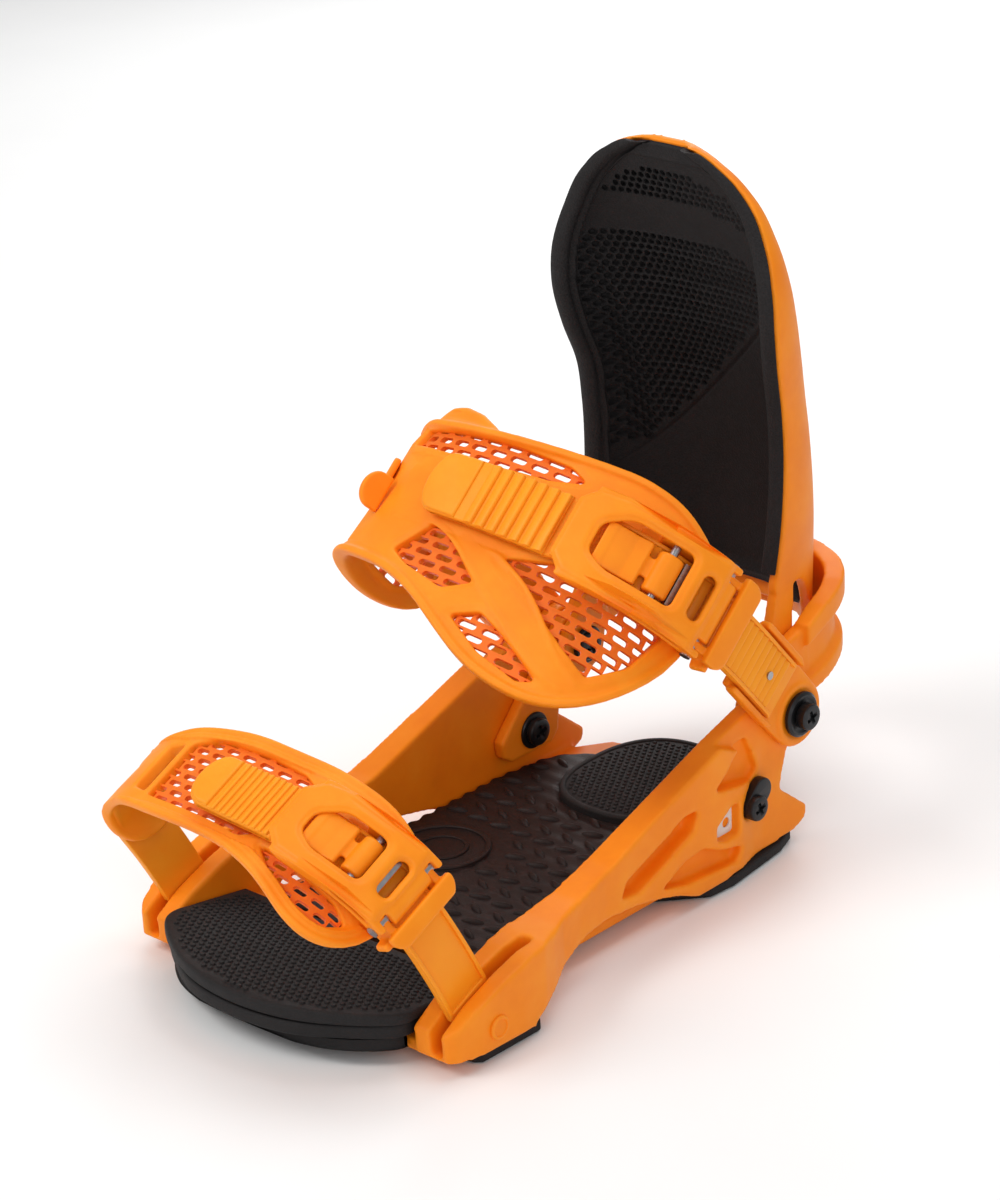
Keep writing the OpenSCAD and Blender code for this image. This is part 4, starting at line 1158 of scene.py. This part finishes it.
# ------------------------------------------------------------------ chassis, hoop and connectors
def softened(nodes, voxel, ratio, smooth=4, extra=()):
    return fuse([cad_copy(n) for n in nodes] + list(extra), voxel, smooth=smooth, ratio=ratio)


make("chassis", softened(["baseplate", "rail_right", "rail_left"], 0.8, 0.42), ORANGE, "base",
     ("baseplate", "rail_right", "rail_left"), smooth=50)


def superellipse(w, b, n=120, y0=118.0, p=0.78):
    a = np.linspace(0, math.pi, n)
    c, s = np.cos(a), np.sin(a)
    return np.stack([w * np.sign(c) * np.abs(c) ** p, y0 + (b - y0) * np.abs(s) ** p], 1)


def hoop():
    """Heel hoop: a wall with a broad rolled rim at the top and a rib below, swept round the heel."""
    y = np.array([117, 126, 140, 155, 170.0])

    def at(vals, q):
        return np.interp(q, y, vals)
    top = [78.5, 84, 87.8, 89.6, 90.5]
    bot = [52.3, 53.5, 57.5, 60.8, 63]
    prof = [  # (outer offset 0..1 of rim depth, height fraction) going round the section
        (0.0, 1.0), (1.0, 1.0), (1.0, 0.72), (0.12, 0.66), (0.12, 0.26), (0.8, 0.2), (0.8, 0.0), (0.0, 0.0)]
    inner, outer = superellipse(46.2, 157.7), superellipse(53.0, 165.0)
    n, k = len(inner), len(prof)
    v = []
    for i in range(n):
        zt, zb = at(top, inner[i, 1]), at(bot, inner[i, 1])
        for f, g in prof:
            off = 0.0 if f == 0 else 0.48 + 0.52 * (f - 0.12) / 0.88 if f > 0.12 else 0.48
            xy = inner[i] + (outer[i] - inner[i]) * off
            v.append((xy[0], xy[1], zb + (zt - zb) * g))
    f = []
    for i in range(n - 1):
        for j in range(k):
            f.append((i * k + j, i * k + (j + 1) % k, (i + 1) * k + (j + 1) % k, (i + 1) * k + j))
    f += [tuple(range(k)), tuple(range(n * k - 1, n * k - k - 1, -1))]
    swept = tidy(mesh_from("hoop", np.array(v) * MM, f))
    arm = arm_profile()
    parts = [swept]
    for s in (-1, 1):
        p = slab([np.array(arm)] + [circle(103, 53, 3.1), circle(78, 26, 3.3)], 44.6, 49.7, bevel=0.7)
        shift(p, lambda q, s=s: np.stack([q[:, 2] * s, q[:, 0], q[:, 1]], 1) * MM)
        parts.append(tidy(p))
    return fuse(parts, 0.7, smooth=4, ratio=0.42)


def arm_profile():
    return ([(61, 26), (62, 20), (66, 17), (88, 17), (92, 21), (93, 30), (98, 38)]
            + arc(*PIVOT, 12, range(-75, -19, 11)) + [(122, 52), (122, 78.5), (111, 75)]
            + arc(*PIVOT, 12, range(90, 151, 12)) + [(86, 50), (74, 40)])


make("heel_hoop_moulding", hoop(), ORANGE, "base", ("heel_hoop",), smooth=50)


def connector(side):
    """Side plate that carries the strap on the pivot screw, with a rail along each edge."""
    ring_pts = [(12.5 * math.cos(math.radians(d)), 12.5 * math.sin(math.radians(d))) for d in range(180,
                                                                                                    361, 8)]
    o = ring_pts + [(13, 18), (12.6, 44), (-12.6, 44), (-13, 18)]
    parts = [slab([np.array(o), circle(0, 0, 3.15), circle(0, 30, 1.5)], 56.4, 59.5, bevel=0.7)]
    for s in (-1, 1):
        r = soft_corner([(s * 11.9, 14), (s * 14.3, 17), (s * 14.3, 43), (s * 13.4, 44.5),
                         (s * 11.9, 43.5)], 0.8)
        parts.append(slab([r], 58.8, 63.0, bevel=0.6))
    # collar round the screw seat
    parts.append(slab([circle(0, 0, 11.6), circle(0, 0, 9.2)], 59.0, 60.3, bevel=0.3))
    m = fuse([scaled(p) for p in parts], 0.5, smooth=3, ratio=0.45)
    scaled(m, 1000)
    shift(m, lambda p: ANK.place(p[:, 2] * side, p[:, 0], p[:, 1]))
    return tidy(m)


make("ankle_connector_plate_right", connector(1), ORANGE, "ankle_strap", ("ankle_connector_right",),
     smooth=50)
make("ankle_connector_plate_left", connector(-1), ORANGE, "ankle_strap", ("ankle_connector_left",),
     smooth=50)


# ------------------------------------------------------------------ footbeds and toe ramp
def side_curve(rows):
    r = np.array(rows, float)
    return lambda y: np.interp(y, r[:, 0], r[:, 1])


def layered(outline, low, top, bevel, cell=3.0):
    """A plate whose two faces follow side curves in y, with rounded edges."""
    m = slab([outline], -3, 3, bevel=bevel, cell=cell, cell_v=cell)

    def lay(p):
        a, b = low(p[:, 1]), top(p[:, 1])
        mid, halfh = (a + b) / 2, (b - a) / 2
        z = p[:, 2]
        edge = np.where(np.abs(z) > 3 - bevel, np.sign(z) * (halfh - (3 - np.abs(z))), z / (3 - bevel) *
                        (halfh - bevel))
        return np.stack([p[:, 0], p[:, 1], mid + edge], 1)
    return shift(m, lay)


def toe_outline(half, front, grow=0.0):
    pts = [(half - 0.5, -60), (half, -84), (half - 1, -98), (38 + grow, -111 - grow * 0.6), (20, front + 2.5),
           (0, front), (-20, front + 2.5), (-38 - grow, -111 - grow * 0.6), (-half + 1, -98), (-half, -84),
           (-half + 0.5, -60)]
    p = catmull(pts, np.linspace(0, len(pts) - 1, 90))
    return p


TOE_TOP = side_curve([[-122.5, 19.9], [-118, 20.6], [-90, 19.4], [-59, 14.6]])
TOE_MID = side_curve([[-122.5, 15.4], [-90, 15.6], [-59, 12.6]])
deck = layered(toe_outline(56, -121.3), TOE_MID, TOE_TOP, 1.3)


def dropped(region_outline, top):
    """A region mesh laid on a side curve."""
    m = edit(flat([region_outline]), lambda bm: slice_at(bm, 1, np.arange(-120, 130, 4.0)))
    return shift(m, lambda p: np.stack([p[:, 0], p[:, 1], top(p[:, 1])], 1))


toe_bumps = field(dropped(inset(toe_outline(56, -121.3), 3.4), TOE_TOP), hex_bump(1.25, 0.75, 0.62), 3.0, 2.6,
                  EVA_FINE)
make("toe_deck", scaled(join(deck, toe_bumps)), EVA_FINE, "toe_ramp", ("toe_footbed",),
     smooth=40)


def toe_ramp():
    low = side_curve([[-123, 10.6], [-117, 10.2], [-94, 10.2], [-61, 9.4]])
    top = side_curve([[-123, 15.0], [-90, 15.4], [-61, 12.6]])
    upper = layered(inset(toe_outline(55.2, -122.4), 0.9), low, top, 1.0)
    keel = side_curve([[-119, 8.6], [-115, 6.0], [-94, 5.2], [-93, 5.2]])
    base = np.array([p for p in inset(toe_outline(54.0, -119.5), 2.4)])
    base[:, 1] = np.minimum(base[:, 1], -93.5)
    keep = [tuple(base[0])]
    for p in base[1:]:
        if np.hypot(p[0] - keep[-1][0], p[1] - keep[-1][1]) > 0.4:
            keep.append(tuple(p))
    lower = layered(np.array(keep), keel, side_curve([[-123, 9.9], [-93, 9.9]]), 0.9)
    return scaled(join(upper, lower))


make("toe_ramp_layers", toe_ramp(), EVA_FINE, "toe_ramp", ("toe_ramp",), smooth=40)


def heel_outline(k=1.0, dy=0.0):
    pts = []
    for i in range(72):
        a = math.radians(i * 5)
        c, s = math.cos(a), math.sin(a)
        pts.append((29 * k * math.copysign(abs(c) ** 0.8, c), 91 + 33 * k * math.copysign(abs(s) ** 0.8, s)))
    return np.array(pts)


heel = slab([heel_outline()], 9.1, 14.4, bevel=1.6, res=4)
rim_ring = slab([heel_outline(), inset(heel_outline(), 2.6)], 12.0, 14.9, bevel=0.9, res=3)
heel_bumps = field(flat([inset(heel_outline(), 3.6)], 14.35), hex_bump(1.15, 0.65, 0.55), 2.75, 2.38,
                   EVA_FINE)


def centre_bed():
    """Centre footbed: wavy edge, cross ridges and lens-shaped tread, with one plain raised ring."""
    edge = []
    for y in np.linspace(-55, 84, 140):
        w = np.interp(y, [-55, -40, 0, 62, 84], [46, 48, 48.5, 48.5, 45.4])
        edge.append((w - 0.45 + 0.45 * math.cos(2 * math.pi * y / 7.4), y))
    heel = [(p[0] + 0.4, p[1]) for p in heel_outline() if p[0] > 0 and 66 <= p[1] <= 97]
    wing = [(41.5, 91), (36, 95.5), (31.2, 98.5)] + sorted(heel, key=lambda p: -p[1])
    o = edge + wing + [(-x, y) for x, y in wing[::-1]] + [(-x, y) for x, y in edge[::-1]]
    base = slab([np.array(o)], 9.3, 12.3, bevel=0.5, cell=1.5, cell_v=1.2, res=1)
    heel_zone = inset(heel_outline(), -1.0)

    def wave(p):
        top = p[:, 2] > 11.2
        z = p[:, 2] + np.where(top, 0.16 * np.cos(2 * np.pi * p[:, 1] / 7.4) - 0.1, 0)
        z = z - np.where(top & inside(heel_zone, p[:, :2]), 0.5, 0)
        return np.stack([p[:, 0], p[:, 1], z], 1)
    shift(base, wave)
    lens_v, lens_f = [], []
    for r, h in ((1.0, -0.3), (0.82, 0.6), (0.38, 1.15)):
        for i in range(12):
            a = 2 * math.pi * i / 12
            lens_v.append((4.4 * r * math.cos(a), 1.5 * r * math.sin(a) * (1 - 0.35 * abs(math.cos(a))), h))
    for k in range(2):
        lens_f += [(k * 12 + i, k * 12 + (i + 1) % 12, (k + 1) * 12 + (i + 1) % 12, (k + 1) * 12 + i)
                   for i in range(12)]
    lens_f += [tuple(range(11, -1, -1)), tuple(range(24, 36))]
    lens = mesh_from("lens", lens_v, lens_f)
    cx, cy = -24.7, 6.8
    ring_o, ring_i = circle(cx, cy, 17.4, 64), circle(cx, cy, 15.4, 64)
    zone = inset(np.array([p for p in o]), 3.2)
    tread = field(flat([zone], 12.3), lens, 10.4, 7.4, BROWN, turn=0.42)
    bm = bmesh.new()
    bm.from_mesh(tread)
    far = [v for v in bm.verts if math.hypot(v.co.x - cx, v.co.y - cy) < 19.5
           or inside(heel_zone, np.array([[v.co.x, v.co.y]]))[0]]
    islands = set()
    for v in far:
        if v in islands:
            continue
        stack = [v]
        while stack:
            w = stack.pop()
            if w not in islands:
                islands.add(w)
                stack += [e.other_vert(w) for e in w.link_edges]
    bmesh.ops.delete(bm, geom=list(islands), context="VERTS")
    bm.to_mesh(tread)
    bm.free()
    disc_plate = slab([circle(cx, cy, 17.6, 64)], 11, 12.55, bevel=0.3)
    ring_mesh = slab([ring_o, ring_i], 12.0, 13.4, bevel=0.5)
    inner = slab([circle(cx, cy, 9.4, 48), circle(cx, cy, 8.0, 48)], 12.0, 13.2, bevel=0.4)
    return scaled(join(base, tread, disc_plate, ring_mesh, inner))


make("centre_bed", centre_bed(), BROWN, "base", ("centre_footbed",), smooth=50)
make("heel_bed", scaled(join(heel, rim_ring, heel_bumps)), EVA_FINE, "base", ("heel_footbed",),
     smooth=40)


# ------------------------------------------------------------------ screws, washers and small metal
def phillips(x0, x1, r, y, z, side, dome=0.5):
    """Pan head with a cross recess, made by cutting four tapered slots."""
    v, f = [], []
    n = 40
    rings = [(x0, r * 0.96), (x0 + 0.25, r), (x1 - dome, r), (x1 - dome * 0.35, r * 0.93), (x1, r * 0.75)]
    for a, b in rings:
        v += [(a, b * math.cos(2 * math.pi * i / n), b * math.sin(2 * math.pi * i / n)) for i in range(n)]
    for k in range(len(rings) - 1):
        f += [(k * n + i, k * n + (i + 1) % n, (k + 1) * n + (i + 1) % n, (k + 1) * n + i) for i in range(n)]
    f += [tuple(range(n - 1, -1, -1)), tuple((len(rings) - 1) * n + i for i in range(n))]
    head = tidy(mesh_from("head", v, f), 1e-5)
    cut = []
    for turn in (0.35, 0.35 + math.pi / 2):
        c, s = math.cos(turn), math.sin(turn)
        L, W = r * 0.62, r * 0.17
        pts = []
        for dx, k in ((0.3, 1.0), (-1.3, 0.55)):
            for a, b in ((-L * k, -W), (L * k, -W), (L * k, W), (-L * k, W)):
                pts.append((x1 + dx, a * c - b * s, a * s + b * c))
        cut.append(tidy(mesh_from("slot", pts, [(0, 1, 2, 3), (7, 6, 5, 4), (0, 4, 5, 1), (1, 5, 6, 2),
                                                (2, 6, 7, 3), (3, 7, 4, 0)]), 1e-5))
    for c in cut:
        tool = bpy.data.objects.new("tool", c)
        bpy.context.scene.collection.objects.link(tool)
        head = modified(head, ("BOOLEAN", {"operation": "DIFFERENCE", "object": tool, "solver": "EXACT"}))
        bpy.data.objects.remove(tool)
    shift(head, lambda p: (p + np.array([0, y, z])) * MM)
    return mirrored(head) if side < 0 else head


washer = lathe([(60.05, 3.2), (60.05, 8.0), (60.4, 8.3), (61.5, 8.3), (62.3, 7.4), (62.3, 6.6), (61.7, 5.9),
                (61.5, 5.0), (61.5, 3.2)], 64, PIVOT)
make("pivot_washer_rings", both_sides(washer), BLACK, "base", ("pivot_washers",), smooth=30)
shank = lathe([(38.6, 0.01), (38.6, 2.7), (39.0, 3.0), (63.0, 3.0), (63.0, 0.01)], 32, PIVOT)
make("pivot_screw_set", join(phillips(62.2, 66.0, 4.8, 103, 53, 1), phillips(62.2, 66.0, 4.8, 103, 53, -1),
                             shank,
                             mirrored(shank)), BLACK, "base", ("pivot_screws",), smooth=30)
shank = lathe([(43.1, 0.01), (43.1, 2.6), (43.5, 2.9), (60, 2.9), (60, 0.01)], 32, HOOP_SCREW)
make("hoop_screw_set", join(phillips(59.4, 62.4, 4.7, 78, 26, 1, 0.9),
                            phillips(59.4, 62.4, 4.7, 78, 26, -1, 0.9),
                            shank, mirrored(shank)), BLACK, "base", ("hoop_screws",),
                            smooth=30)


def bracket(side):
    a = [(82.6 + 4.7 * math.cos(math.radians(d)), 30.6 + 4.7 * math.sin(math.radians(d))) for d in
         range(135, -46, -12)]
    b = [(78 + 4.7 * math.cos(math.radians(d)), 26 + 4.7 * math.sin(math.radians(d))) for d in
         range(-45, -226, -12)]
    m = slab([np.array(a + b), circle(78, 26, 3.1)], 56.4, 59.9, bevel=0.5)
    shift(m, lambda q: np.stack([q[:, 2] * side, q[:, 0], q[:, 1]], 1) * MM)
    return tidy(m)


make("hoop_bracket_plates", join(bracket(1), bracket(-1)), BLACK, "base", ("hoop_brackets",),
     smooth=35)


def bevelled(name, nodes, width, material, body, seg=3):
    """Small plain pieces keep their size and get rounded edges."""
    m = cad_copy(*nodes)
    m = modified(m, ("DECIMATE", {"decimate_type": "DISSOLVE", "angle_limit": math.radians(3)}),
                 ("BEVEL", {"width": width * MM, "segments": seg, "limit_method": "ANGLE",
                            "angle_limit": math.radians(28), "use_clamp_overlap": True}),
                 ("TRIANGULATE", {}))
    tidy(m)
    return make(name, m, material, body, tuple(nodes), smooth=35)


bevelled("base_pads", ["base_pad_front_right", "base_pad_front_left", "base_pad_rear_right",
                       "base_pad_rear_left"], 0.8, EVA_FINE, "base")
bevelled("index_plate_pair", ["index_plates"], 0.15, WHITE, "base", 2)
nut = lathe([(-44.4, 3.2), (-44.4, 7.0), (-43.9, 7.0), (-43.5, 6.6), (-43.3, 5.0), (-43.3, 3.2)], 48,
            HOOP_SCREW)
make("hoop_nut_pair", join(both_sides(nut), phillips(-43.4, -40.6, 5.2, 78, 26, 1, 0.8),
                           phillips(-43.4, -40.6, 5.2, 78, 26, -1, 0.8)), BLACK, "base", ("hoop_nuts",),
     smooth=30)
nut = lathe([(-39.4, 3.4), (-39.4, 7.1), (-38.3, 7.1), (-37.9, 6.7), (-37.9, 3.4)], 48, PIVOT)
make("pivot_nut_pair", join(both_sides(nut), phillips(-39.3, -36.4, 5.5, 103, 53, 1, 0.8),
                            phillips(-39.3, -36.4, 5.5, 103, 53, -1, 0.8)), BLACK, "base", ("pivot_nuts",),
                            smooth=30)
cap = lathe([(74.6, 0.01), (74.6, 4.0), (76.7, 4.2), (77.1, 3.9), (77.2, 3.2), (76.75, 2.9), (76.75, 0.01)],
            48,
            TOWER_PIN)
make("tower_cap_pair", both_sides(cap), ORANGE, "base", smooth=30)
bevelled("lean_slider", ["lean_block"], 0.6, NYLON, "lean_block", 2)
bevelled("lean_flip_lever", ["lean_lever"], 0.7, ORANGE, "lean_lever", 2)
bevelled("lean_rail", ["lean_track"], 0.6, ORANGE, "highback", 2)
bevelled("disc_plate", ["mounting_disc"], 0.35, NYLON, "disc", 2)


# every CAD piece that still shows takes its finish from its slot
for s in frame["record"]["subparts"]:
    o = NODES[s["node"]]
    if not o.hide_render:
        o.data.materials.clear()
        o.data.materials.append(SLOTS[s["material_slot"]])
